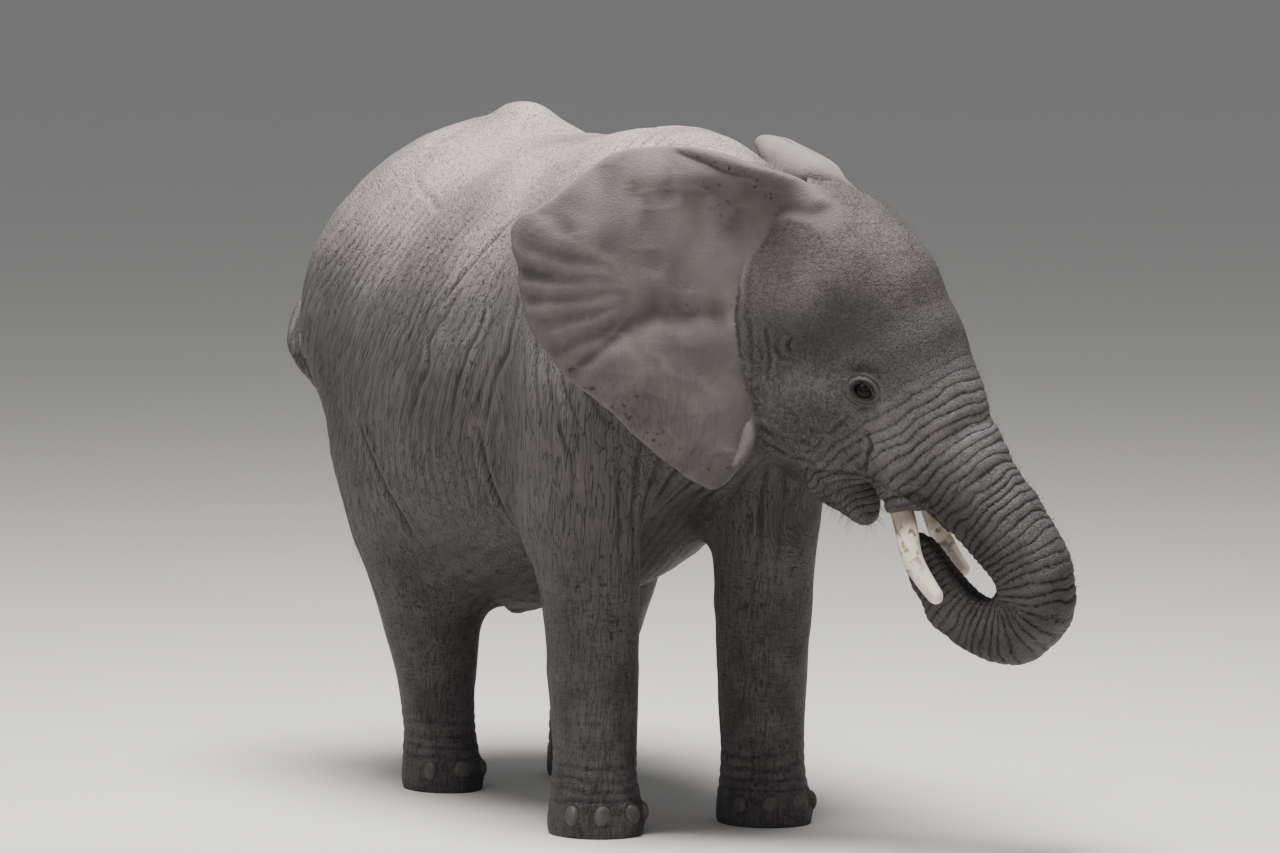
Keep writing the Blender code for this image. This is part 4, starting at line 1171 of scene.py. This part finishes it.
def shaped(mesh):
    """Folds the skin, shapes its lids, flattens its soles, and writes its attributes."""
    points, normals = points_of(mesh), normals_of(mesh)
    roll = np.full(len(points), FAR)
    for rows in EAR_ROLLS.values():
        away, along = away_from(points, np.array(rows)[:, :3])
        roll = np.minimum(roll, away - np.interp(along, np.linspace(0, 1, len(rows)), np.array(rows)[:, 3]))
    ear = spread(mesh, np.maximum(IS_EAR, step(0.016, 0.004, roll)), 3)
    found = regions(points, normals)
    move = body_relief(points, normals, found) + trunk_relief(points, found) + head_relief(points, found)
    move = move + creases(points, BODY_CREASES) * (1 - found["on_head"])
    tail = step(0.985, 1.0, points[:, 1]) * step(1.5, 1.45, points[:, 2])
    move = move * (1 - ear) * (1 - 0.7 * tail) * step(0.0, 0.03, points[:, 2])
    eye = np.zeros(len(points))
    for side, word in SIDES:
        local = at_eye(points, side, word)
        eye = np.maximum(eye, step(0.05, 0.03, np.linalg.norm(local, axis=1)))
    points = points + normals * (move * (1 - 0.8 * eye))[:, None]
    # The dark zone round each eye, partly the real dark lid margin and partly painted shade of the lids
    lid = np.zeros(len(points))
    for side, word in SIDES:
        points = with_lids(points, side, word)
        local = at_eye(points, side, word)
        close = np.linalg.norm(local, axis=1) < 0.06
        lid = np.where(close, step(0.012, 0.005, opening(local)), lid)
    points[:, 2] = np.maximum(points[:, 2], 0)
    move_to(mesh, points)
    # How hollow the skin is here; the hide paints shade into hollows and a little light onto bulges
    hollow = np.clip(spread(mesh, bulge(mesh), 2) / 0.0006, -1, 1)
    x, y, z = points.T
    head, on_head, trunk = found["head"], found["on_head"], found["trunk"]
    slant = 0.45 * found["flank"] + 0.1
    drawn = np.interp(z, HEIGHTS, DRAWN) * (1 - on_head) + z * on_head
    lines = np.maximum(np.maximum(found["flank"], found["leg"]), step(1.25, 1.0, z)) * (1 - on_head)
    beaded = on_head * (0.6 + 0.4 * step(-0.10, 0.03, head[:, 2])) * (1 - trunk)
    crown = step(-0.05, 0.15, head[:, 2]) * on_head * step(-0.5, 0.5, normals[:, 2])
    dust = np.maximum(found["above"] * step(1.05, 1.35, z), crown * (1 - 0.5 * trunk))
    dust = np.maximum(dust, 0.75 * on_head * step(0.0, 0.2, head[:, 2]))
    dust = dust * (1 - ear) + ear * (0.15 + 0.6 * step(1.20, 1.62, z))
    # Darker hide toward the feet, on the tail and on the lower face and trunk, and painted shade on surfaces
    # that face down
    mud_and_underside_shade = step(0.95, 0.25, z) + tail + 0.6 * step(0.2, -0.6, normals[:, 2])
    mud_and_underside_shade = mud_and_underside_shade + 0.5 * step(-0.26, -0.36, head[:, 2]) * on_head
    fields = {
        "ear": ear,
        "trunk": trunk,
        "rings": np.interp(found["gone"] + found["sway"], places, RING_COUNT),
        "flow": np.stack([x, y + slant * (z - 0.8), drawn], 1),
        "lines": lines * (1 - 0.8 * found["above"]),
        "hollow": hollow,
        "pebble": np.maximum(beaded, ear),
        "lid": lid,
        "calm": np.maximum(0.78 * ear, 0.85 * eye),
        "dust": np.clip(dust, 0, 1),
        "leg": found["leg"],
        "mud_and_underside_shade": np.clip(mud_and_underside_shade, 0, 1),
    }
    for name, values in fields.items():
        write_field(mesh, name, values)
    return mesh


SKIN = shaped(SKIN)

# %% Thinning the skin out where it is plain
BODY_FACES, EAR_FACES, MOST_FACES = 80000, 36000, 197500


def thinned(mesh, chosen, most=None):
    """Collapses the flattest edges among the chosen points, until their faces number about
    `most`, or the whole skin's MOST_FACES."""
    obj = show(mesh)
    obj.vertex_groups.clear()
    group = obj.vertex_groups.new(name="thin")
    group.add(np.flatnonzero(chosen).tolist(), 1.0, "REPLACE")
    inside = int(chosen[body_of(mesh)[1]].all(1).sum())
    spare = inside - most if most else len(mesh.polygons) - MOST_FACES
    thin = obj.modifiers.new("thin", "DECIMATE")
    thin.vertex_group = "thin"
    thin.ratio = min(1.0, 1 - spare / len(mesh.polygons))
    return evaluated(obj)


def is_head(points):
    """True on the head, trunk and jaw, in front of the ear roots."""
    head = in_head(points)
    return (head[:, 1] > -0.03) & (np.abs(head[:, 0]) < 0.24)


def field_of(mesh, name):
    """The numbers that write_field wrote under a name."""
    return read(mesh.attributes[name].data, "value")


points = points_of(SKIN)
SKIN = thinned(SKIN, ~is_head(points) & (field_of(SKIN, "ear") < 0.5), BODY_FACES)
print("body thinned:", len(SKIN.polygons))
SKIN = thinned(SKIN, field_of(SKIN, "ear") > 0.5, EAR_FACES)
print("ears thinned:", len(SKIN.polygons))
points = points_of(SKIN)
fine = np.zeros(len(points), bool)
for side, word in SIDES:
    fine |= np.linalg.norm(points - EYES[word], axis=1) < 0.05
SKIN = thinned(SKIN, is_head(points) & (field_of(SKIN, "ear") < 0.5) & ~fine)
move_to(SKIN, points_of(SKIN) + SHIFT)
SKIN.materials.clear()
SKIN.shade_smooth()
skin = show(SKIN)
skin.name = "skin"
skin.vertex_groups.clear()
FLESH_NODES = [name for name in NODES if not name.startswith(("eye", "tusk", "nail"))]
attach(skin, "root")
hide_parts(*FLESH_NODES)
print("skin:", len(SKIN.polygons), "triangles for", len(FLESH_NODES), "nodes")

# %% Eyes, tusks and nails
def own_piece(name, node, slot, body):
    """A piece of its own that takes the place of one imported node."""
    obj = show(mesh_of(name, *body))
    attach(obj, "root")
    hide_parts(node)
    obj["slot"] = slot
    return obj


def eyeball(side, word):
    """A ball with its poles on the line of sight. `gaze` is the cosine of the angle from it."""
    axes = eye_axes(side)
    points, faces = ellipsoid((0, 0, 0), (EYE_RADIUS,) * 3, around=64, rings=64)
    gaze = points[:, 2] / EYE_RADIUS
    body = facing_out(points @ axes + EYES[word] + SHIFT, faces)
    obj = own_piece("eyeball_" + word, "eye_" + word, "eyeball", body)
    write_field(obj.data, "gaze", gaze)
    return obj


def ivory(side, word):
    """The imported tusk's shape, finer. `share` runs from 0 at the lip to 1 at the tip."""
    points, faces = tusk_body(side, word, 90, 48)
    head = in_head(points)
    obj = own_piece("ivory_" + word, "tusk_" + word, "ivory", (points + SHIFT, faces))
    way = (TUSK_TIP - TUSK_EXIT) / np.linalg.norm(TUSK_TIP - TUSK_EXIT)
    right = head * (side, 1, 1) - TUSK_EXIT
    share = (right @ way) / (np.linalg.norm(TUSK_TIP - TUSK_EXIT) * TUSK_LENGTH[word])
    write_field(obj.data, "share", share)
    turn = np.array(Vector(way).rotation_difference(Vector((0, 0, 1))).to_matrix())
    write_field(obj.data, "grain", right @ turn.T)
    return obj


pieces = [make(side, word) for side, word in SIDES for make in (eyeball, ivory)]
for name in NODES:
    if name.startswith("nail"):
        low, high = (np.array(corner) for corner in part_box(name))
        body = ellipsoid((low + high) / 2, (high - low) / 2, around=36, rings=24)
        pieces.append(own_piece(name + "_horn", name, "nail_horn", body))
print(len(pieces), "pieces beside the skin")

# %% [markdown]
# ## Hairs
# A young elephant has wiry black hairs in two rows at the end of its tail, bristles on the
# chin and lower lip, long lashes, and thin fuzz on crown, back and trunk. Each hair is a
# three-sided spike bent like a bow, and all hairs of one kind are one mesh made from
# arrays. Its map gives each hair a small patch at its root's place on the skin, unwrapped
# round the body's length.


# %% Spikes along the lie of the hair
LEVELS = 4  # rings of three points in a hair
PATCH = 0.0015  # half the width of a hair's patch on the map


def hairs(name, roots, ways, lengths, width, sag):
    """Point at share t of a hair: root + length * (way * t + sag * t^2) + ring * width * (1 - 0.85 t)."""
    ways = ways / np.linalg.norm(ways, axis=1)[:, None]
    across = np.cross(ways, (0.31, 0.42, 0.85))
    across /= np.linalg.norm(across, axis=1)[:, None]
    third = np.cross(ways, across)
    t = np.linspace(0, 1, LEVELS)[None, :, None]
    middle = roots[:, None] + lengths[:, None, None] * (ways[:, None] * t + np.asarray(sag, float) * t**2)
    turn = np.arange(3) * 2 * pi / 3
    ring = across[:, None] * np.cos(turn)[:, None] + third[:, None] * np.sin(turn)[:, None]
    points = middle[:, :, None] + ring[:, None] * width * (1 - 0.85 * t[..., None])
    level, side = np.indices((LEVELS - 1, 3)).reshape(2, -1)
    a, b = 3 * level + side, 3 * level + (side + 1) % 3
    top = 3 * LEVELS - 3
    ends = [(0, 2, 1), (top, top + 1, top + 2)]
    one = np.concatenate([np.stack([a, b, b + 3], 1), np.stack([a, b + 3, a + 3], 1), ends])
    faces = (one[None] + 3 * LEVELS * np.arange(len(roots))[:, None, None]).reshape(-1, 3)
    obj = show(mesh_of(name, points.reshape(-1, 3), faces))
    around = 0.5 + np.arctan2(roots[:, 0], roots[:, 2] - 0.9) / (2 * pi)
    home = np.stack([around, 0.5 + roots[:, 1] / 2.7], 1)
    grid = (np.linspace(-PATCH, PATCH, count) for count in (LEVELS, 3))
    patch = np.stack(np.meshgrid(*grid, indexing="ij"), -1)
    uv = (home[:, None, None] + patch[None]).reshape(-1, 2)
    layer = obj.data.uv_layers.new(name="OFBake")
    layer.data.foreach_set("uv", uv[faces.ravel()].astype(np.float32).ravel())
    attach(obj, "root")
    print(name + ":", len(roots), "hairs,", len(faces), "triangles")
    return obj


draw = np.random.default_rng(11)


def tail_hairs(count=420):
    """Rooted along the front and back edges of the tail's last third, and at its tip."""
    line, stations = np.array(TAIL), np.arange(len(TAIL))
    at = 6.2 + 2.8 * draw.random(count) ** 0.7
    spot = through(stations, line, at)
    ahead = through(stations, line, np.minimum(at + 0.2, stations[-1]))
    way = ahead - through(stations, line, at - 0.2)
    way = way[:, :3] / np.linalg.norm(way[:, :3], axis=1)[:, None]
    edge = np.where(draw.random(count) < 0.5, 0.0, pi) + draw.normal(0, 0.45, count)
    out = np.stack([np.sin(edge), np.cos(edge), 0 * edge], 1)
    roots = spot[:, :3] + out * spot[:, 3:] * 0.8 + SHIFT
    lengths = draw.uniform(0.08, 0.17, count)
    return hairs("tail_tuft", roots, way + 0.30 * out, lengths, 0.0009, (0, 0, -0.25))


def lashes():
    """Rows along the lids' margins, longer above, standing out and drooping."""
    roots, ways, lengths = [], [], []
    for side, word in SIDES:
        for count, height, length in ((52, LID_ABOVE, 0.030), (24, -LID_BELOW, 0.014)):
            angle = np.linspace(0.12, 0.88, count) * pi + draw.normal(0, 0.02, count)
            spot = np.stack([np.cos(angle) * LID_LENGTH, np.sin(angle) * height], 1) * 1.06
            rise = np.sqrt(np.clip((EYE_RADIUS + 0.002) ** 2 - (spot**2).sum(1), 0, None))
            roots.append(np.column_stack([spot, rise]) @ eye_axes(side) + EYES[word] + SHIFT)
            upwards = 0.30 * np.sign(height) * np.sin(angle)
            way = np.column_stack([0.5 * np.cos(angle), upwards, 0 * angle + 0.8])
            ways.append((way + draw.normal(0, 0.07, way.shape)) @ eye_axes(side))
            lengths.append(length * draw.uniform(0.7, 1.1, count))
    roots, ways, lengths = (np.concatenate(rows) for rows in (roots, ways, lengths))
    return hairs("lashes", roots, ways, lengths, 0.0004, (0, 0, -0.45))


def sown(name, share, count, shortest, longest, width, lean, sag):
    """Hairs at points of the skin drawn with chances in proportion to `share`."""
    chosen = draw.choice(len(share), count, p=share / share.sum())
    roots, normals = points_of(SKIN)[chosen], normals_of(SKIN)[chosen]
    ways = normals + np.asarray(lean, float) + draw.normal(0, 0.22, normals.shape)
    return hairs(name, roots - 0.001 * normals, ways, draw.uniform(shortest, longest, count), width, sag)


spots, normals = points_of(SKIN) - SHIFT, normals_of(SKIN)
found = regions(spots, normals)
head = found["head"]
bare = 1 - field_of(SKIN, "ear")
jaw = np.array(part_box("lower_jaw")) - SHIFT
chin = ((spots > jaw[0] - 0.01) & (spots < jaw[1] + 0.01)).all(1) * step(0.05, -0.3, normals[:, 2])
chin *= bare * step(0.05, 0.25, head[:, 1]) * step(0.36, 0.32, head[:, 1])
back = found["above"] * step(1.2, 1.4, spots[:, 2])
crown = 0.8 * found["on_head"] * step(0.0, 0.3, normals[:, 2])
eye_away = np.min([np.linalg.norm(spots - EYES[word], axis=1) for word in EYES], 0)
fuzz = bare * (0.05 + back + crown)
fuzz *= step(0.05, 0.07, eye_away) * step(0.1, 0.2, spots[:, 2])
coat = [
    tail_hairs(),
    lashes(),
    sown("chin_hairs", chin, 260, 0.016, 0.045, 0.0005, (0, 0, -0.3), (0, 0, -0.2)),
    sown("fuzz", fuzz, 3200, 0.010, 0.028, 0.00035, (0, 0.5, -0.1), (0, 0.1, -0.1)),
]

# %% [markdown]
# ## Materials
# Each surface is worked out from object coordinates and from the attributes written above.
# The hide's lines lie where soft noise passes through its middle value. On flank and legs
# the noise is drawn out along the folds, and the legs have a second set across them. A net
# of cells adds cracks to the back, head and trunk, beads make head and ears pebbly, and the
# trunk has its rings. The valleys, the hollows and the undersides are darkened with painted
# shade, the crests get a little painted light, and the flat tops are pale with dust.


# %% A short way to write node trees
class Recipe:
    """A material whose nodes are made by calls that return the output socket to pass on. Each
    method is named for what it does to numbers, colours or places."""

    def __init__(self, name):
        self.material = bpy.data.materials.new(name)
        self.material.use_nodes = True
        self.tree = self.material.node_tree
        self.shader = self.tree.nodes["Principled BSDF"]

    def feed(self, socket, value):
        """Links a socket to another, or sets its value."""
        if isinstance(value, bpy.types.NodeSocket):
            self.tree.links.new(value, socket)
        else:
            socket.default_value = value

    def put(self, kind, inputs, output=0, **settings):
        """A node with its inputs fed and its settings set."""
        node = self.tree.nodes.new("ShaderNode" + kind)
        for name, value in settings.items():
            setattr(node, name, value)
        for place, value in inputs.items():
            self.feed(node.inputs[place], value)
        return node.outputs[output]

    def finish_with(self, **sockets):
        for name, value in sockets.items():
            self.feed(self.shader.inputs[name.replace("_", " ")], value)
        return self.material

    def field(self, name, output="Fac"):
        return self.put("Attribute", {}, output, attribute_name=name)

    def place(self):
        return self.put("TexCoord", {}, "Object")

    def maths(self, operation, first, second=0.0):
        return self.put("Math", {0: first, 1: second}, operation=operation)

    def times(self, first, second):
        return self.maths("MULTIPLY", first, second)

    def plus(self, first, second):
        return self.maths("ADD", first, second)

    def ramp(self, value, low, high, to_low=0.0, to_high=1.0):
        """`to_low` below `low`, `to_high` above `high`, and a smooth change between."""
        inputs = {0: value, 1: low, 2: high, 3: to_low, 4: to_high}
        return self.put("MapRange", inputs, interpolation_type="SMOOTHSTEP")

    def mix(self, share, first, second):
        return self.put("Mix", {0: share, 2: first, 3: second}, data_type="FLOAT")

    def blend(self, share, first, second):
        first, second = ((*c, 1) if isinstance(c, tuple) else c for c in (first, second))
        return self.put("Mix", {0: share, 6: first, 7: second}, 2, data_type="RGBA")

    def shaded(self, colour, amount):
        """The colour multiplied by a number."""
        return self.put("VectorMath", {0: colour, 3: amount}, operation="SCALE")

    def clouds(self, where, scale, detail=2.0, output=0):
        return self.put("TexNoise", {"Vector": where, "Scale": scale, "Detail": detail}, output)

    def from_middle(self, value):
        """How far a value from 0 to 1 lies from 0.5."""
        return self.maths("ABSOLUTE", self.plus(value, -0.5))

    def cells(self, where, scale):
        """The distance to the border of the nearest cell, in cells."""
        return self.put("TexVoronoi", {"Vector": where, "Scale": scale}, feature="DISTANCE_TO_EDGE")

    def shifted(self, where, scale, amount):
        """The place, moved about by noise."""
        cloud = self.clouds(where, scale, 1.0, 1)
        cloud = self.put("VectorMath", {0: cloud, 1: (0.5, 0.5, 0.5)}, operation="SUBTRACT")
        cloud = self.shaded(cloud, amount)
        return self.put("VectorMath", {0: where, 1: cloud}, operation="ADD")

    def relief(self, height, distance, strength):
        """The normal of a surface with bumps of a height from 0 to 1, times the distance."""
        return self.put("Bump", {"Height": height, "Distance": distance, "Strength": strength})


# %% Hide
SLATE = (0.102, 0.091, 0.092)  # clean hide
DUST = (0.365, 0.300, 0.300)  # pale dust on the back and crown
MUD_AND_SHADE = (0.030, 0.028, 0.027)  # wet or worn dark hide, and painted shade on surfaces that face down
WARM = (0.200, 0.165, 0.150)  # brown patches of the ears
LID_MARGIN_AND_SHADE = (0.008, 0.007, 0.007)  # dark lid skin round the eye: the real dark margin and painted shade of the lids


def hide_material():
    """Lines, cracks, rings and beads as one height, which also dusts the colour and darkens its valleys with
    painted shade.
    """
    hide = Recipe("hide")
    place = hide.place()
    ear, trunk = hide.field("ear"), hide.field("trunk")
    lines, dust, mud_and_underside_shade = hide.field("lines"), hide.field("dust"), hide.field("mud_and_underside_shade")
    hollow, lid = hide.field("hollow"), hide.field("lid")
    calm = hide.maths("SUBTRACT", 1.0, hide.field("calm"))
    flow = hide.field("flow", "Vector")
    long_lines = hide.ramp(hide.from_middle(hide.clouds(flow, 58.0, 2.0)), 0.0, 0.042)
    fine_lines = hide.ramp(hide.from_middle(hide.clouds(flow, 95.0, 1.0)), 0.0, 0.075)
    net = hide.ramp(hide.cells(hide.shifted(place, 26.0, 0.016), 108.0), 0.0, 0.13)
    turns = hide.times(hide.field("rings"), pi)
    ringed = hide.ramp(hide.maths("ABSOLUTE", hide.maths("SINE", turns)), 0.0, 0.55)
    grain = hide.clouds(place, 330.0, 2.0)
    pebble = hide.field("pebble")
    beads = hide.put("TexVoronoi", {"Vector": place, "Scale": 210.0}, feature="F1")
    netted = hide.times(net, hide.mix(pebble, 0.28, 0.04))
    plain = hide.plus(netted, hide.times(long_lines, hide.mix(pebble, 0.30, 0.10)))
    height = hide.mix(lines, plain, hide.times(long_lines, 0.60))
    squashed = hide.put("Mapping", {"Vector": place, "Scale": (0.3, 0.3, 1.0)})
    crossing = hide.ramp(hide.from_middle(hide.clouds(squashed, 75.0, 1.0)), 0.0, 0.07)
    on_leg = hide.plus(hide.times(crossing, 0.28), hide.times(long_lines, 0.20))
    height = hide.mix(hide.field("leg"), height, on_leg)
    height = hide.mix(trunk, height, hide.plus(hide.times(ringed, 0.50), hide.times(net, 0.16)))
    height = hide.plus(height, hide.times(fine_lines, hide.mix(pebble, 0.38, 0.20)))
    broad = hide.clouds(place, 3.1, 3.0)
    patches = hide.clouds(place, 11.0, 4.0)
    rough_height = hide.plus(hide.times(height, calm), hide.times(grain, 0.30))
    rough_height = hide.plus(rough_height, hide.times(beads, hide.times(pebble, -0.22)))
    normal = hide.relief(rough_height, 0.0034, 0.9)
    dusty = hide.times(dust, hide.ramp(broad, 0.30, 0.62, 0.55, 1.0))
    dusty = hide.times(dusty, hide.ramp(height, 0.25, 0.75, 0.45, 1.0))
    colour = hide.blend(dusty, SLATE, DUST)
    colour = hide.blend(hide.times(ear, hide.ramp(patches, 0.45, 0.68, 0.0, 0.55)), colour, WARM)
    # Mud and wet darken the hide here, and the same mask paints shade on the undersides
    mud_and_shade = hide.times(mud_and_underside_shade, hide.ramp(patches, 0.35, 0.65, 0.55, 1.0))
    colour = hide.blend(hide.times(mud_and_shade, 0.85), colour, MUD_AND_SHADE)
    specks = hide.ramp(hide.clouds(place, 62.0, 1.0), 0.66, 0.70)
    specks = hide.times(specks, hide.ramp(mud_and_underside_shade, 0.1, 0.5))
    colour = hide.blend(hide.times(specks, 0.8), colour, MUD_AND_SHADE)
    # Painted shade in the low parts of the height and in the skin's hollows, painted light on crests and
    # bulges, and a broad random change of tone
    crease_shade_and_tone = hide.mix(calm, 1.0, hide.ramp(height, 0.05, 0.85, 0.38, 1.08))
    crease_shade_and_tone = hide.times(crease_shade_and_tone, hide.ramp(hollow, -0.6, 0.9, 1.08, 0.50))
    crease_shade_and_tone = hide.times(crease_shade_and_tone, hide.ramp(broad, 0.35, 0.70, 0.86, 1.12))
    colour = hide.shaded(colour, crease_shade_and_tone)
    # Dark lids: the real dark margin and painted shade of the lids round the eye
    colour = hide.blend(hide.times(lid, 0.9), colour, LID_MARGIN_AND_SHADE)
    rough = hide.mix(dusty, hide.mix(mud_and_shade, 0.72, 0.50), 0.92)
    rough = hide.mix(lid, rough, 0.5)
    return hide.finish_with(Base_Color=colour, Roughness=rough, Normal=normal, Specular_IOR_Level=0.22)


skin.data.materials.append(hide_material())


# %% Eye, ivory and horn
def eye_material():
    """A nearly black ball, with an iris and a pupil a little darker still, under a wet film."""
    eye = Recipe("eyeball")
    gaze = eye.field("gaze")
    colour = eye.blend(eye.ramp(gaze, 0.885, 0.905), (0.006, 0.004, 0.004), (0.009, 0.006, 0.005))
    threads = eye.clouds(eye.place(), 900.0, 2.0)
    colour = eye.shaded(colour, eye.ramp(threads, 0.3, 0.7, 0.6, 1.4))
    colour = eye.blend(eye.ramp(gaze, 0.962, 0.970), colour, (0.002, 0.002, 0.002))
    film = {"Coat_Weight": 0.18, "Coat_Roughness": 0.04}
    return eye.finish_with(Base_Color=colour, Roughness=0.5, Specular_IOR_Level=0.05, **film)


def ivory_material():
    """Cream ivory with a long grain, brown stains near the lip and a worn clean tip."""
    ivory = Recipe("ivory")
    share = ivory.field("share")
    along = ivory.put("Mapping", {"Vector": ivory.field("grain", "Vector"), "Scale": (1.0, 1.0, 0.12)})
    grain = ivory.clouds(along, 160.0, 3.0)
    stains = ivory.clouds(ivory.place(), 38.0, 4.0)
    low = ivory.ramp(share, 0.15, 0.95, 1.0, 0.0)
    colour = ivory.blend(ivory.ramp(grain, 0.35, 0.7), (0.74, 0.68, 0.58), (0.62, 0.54, 0.43))
    stained = ivory.times(ivory.ramp(stains, 0.52, 0.62), ivory.plus(ivory.times(low, 0.85), 0.10))
    colour = ivory.blend(stained, colour, (0.20, 0.12, 0.07))
    colour = ivory.blend(ivory.ramp(share, 0.0, 0.20, 0.8, 0.0), colour, (0.16, 0.11, 0.08))
    normal = ivory.relief(ivory.plus(grain, ivory.times(stains, 0.6)), 0.0008, 0.6)
    return ivory.finish_with(Base_Color=colour, Roughness=0.42, Normal=normal, Subsurface_Weight=0.1)


def horn_material():
    """Dark horn with upright grain and darker dirt."""
    horn = Recipe("nail_horn")
    along = horn.put("Mapping", {"Vector": horn.place(), "Scale": (1.0, 1.0, 0.15)})
    grain = horn.clouds(along, 230.0, 3.0)
    dirt = horn.clouds(horn.place(), 45.0, 3.0)
    colour = horn.blend(horn.ramp(grain, 0.35, 0.65), (0.078, 0.069, 0.062), (0.050, 0.044, 0.040))
    colour = horn.blend(horn.ramp(dirt, 0.45, 0.62, 0.0, 0.7), colour, (0.035, 0.031, 0.028))
    normal = horn.relief(grain, 0.0010, 0.7)
    return horn.finish_with(Base_Color=colour, Roughness=0.6, Normal=normal)


def hair_material():
    """Wiry hair, black with a brown cast."""
    hair = Recipe("hair")
    browner = hair.ramp(hair.clouds(hair.place(), 14.0, 2.0), 0.4, 0.6)
    colour = hair.blend(browner, (0.018, 0.014, 0.012), (0.050, 0.034, 0.025))
    return hair.finish_with(Base_Color=colour, Roughness=0.5)


wiry = hair_material()
for tufts in coat:
    tufts.data.materials.append(wiry)
coats = {"eyeball": eye_material(), "ivory": ivory_material(), "nail_horn": horn_material()}
for piece in pieces:
    piece.data.materials.append(coats[piece["slot"]])

# %% [markdown]
# ## Floor, light and camera
# A wide floor, one large light overhead, a weak one in front, and a long lens from the
# animal's right and front.

# %% The stage
FLOOR = 400.0  # half its width
corners = np.array([(-FLOOR, -FLOOR, 0), (FLOOR, -FLOOR, 0), (FLOOR, FLOOR, 0), (-FLOOR, FLOOR, 0)])
floor = show(mesh_of("floor", corners, np.array([(0, 1, 2, 3)])))
ground = Recipe("floor")
floor.data.materials.append(ground.finish_with(Base_Color=(0.62, 0.60, 0.57, 1), Roughness=0.9))
world = bpy.data.worlds.new("studio")
bpy.context.scene.world = world
world.use_nodes = True
sky = world.node_tree.nodes["Background"].inputs
sky["Color"].default_value = (0.85, 0.87, 0.9, 1)
sky["Strength"].default_value = 0.33


def area_light(name, place, size, power):
    """A square light that points at the animal's middle."""
    data = bpy.data.lights.new(name, "AREA")
    data.size = size
    data.energy = power
    light = bpy.data.objects.new(name, data)
    light.location = place
    light.rotation_euler = (Vector((0, 0, 1.0)) - Vector(place)).to_track_quat("-Z", "Y").to_euler()
    bpy.context.scene.collection.objects.link(light)


area_light("sky", (-0.8, -0.8, 8.0), 4.0, 1850)
area_light("fill", (-6.0, -7.0, 3.5), 5.0, 90)

CAMERA_TURN, CAMERA_DIP = radians(26), radians(4.75)
CAMERA_AT = (-7.978, -16.606, 2.5)  # from the middle of the feet
camera_data = bpy.data.cameras.new("camera")
camera_data.lens = 204.0
camera_data.sensor_width = 36.0
camera_data.clip_end = 2000
camera = bpy.data.objects.new("camera", camera_data)
bpy.context.scene.collection.objects.link(camera)
level = cos(CAMERA_DIP)
looking = Vector((sin(CAMERA_TURN) * level, cos(CAMERA_TURN) * level, -sin(CAMERA_DIP)))
camera.location = Vector(CAMERA_AT) + Vector(SHIFT)
camera.rotation_euler = looking.to_track_quat("-Z", "Y").to_euler()
bpy.context.scene.camera = camera
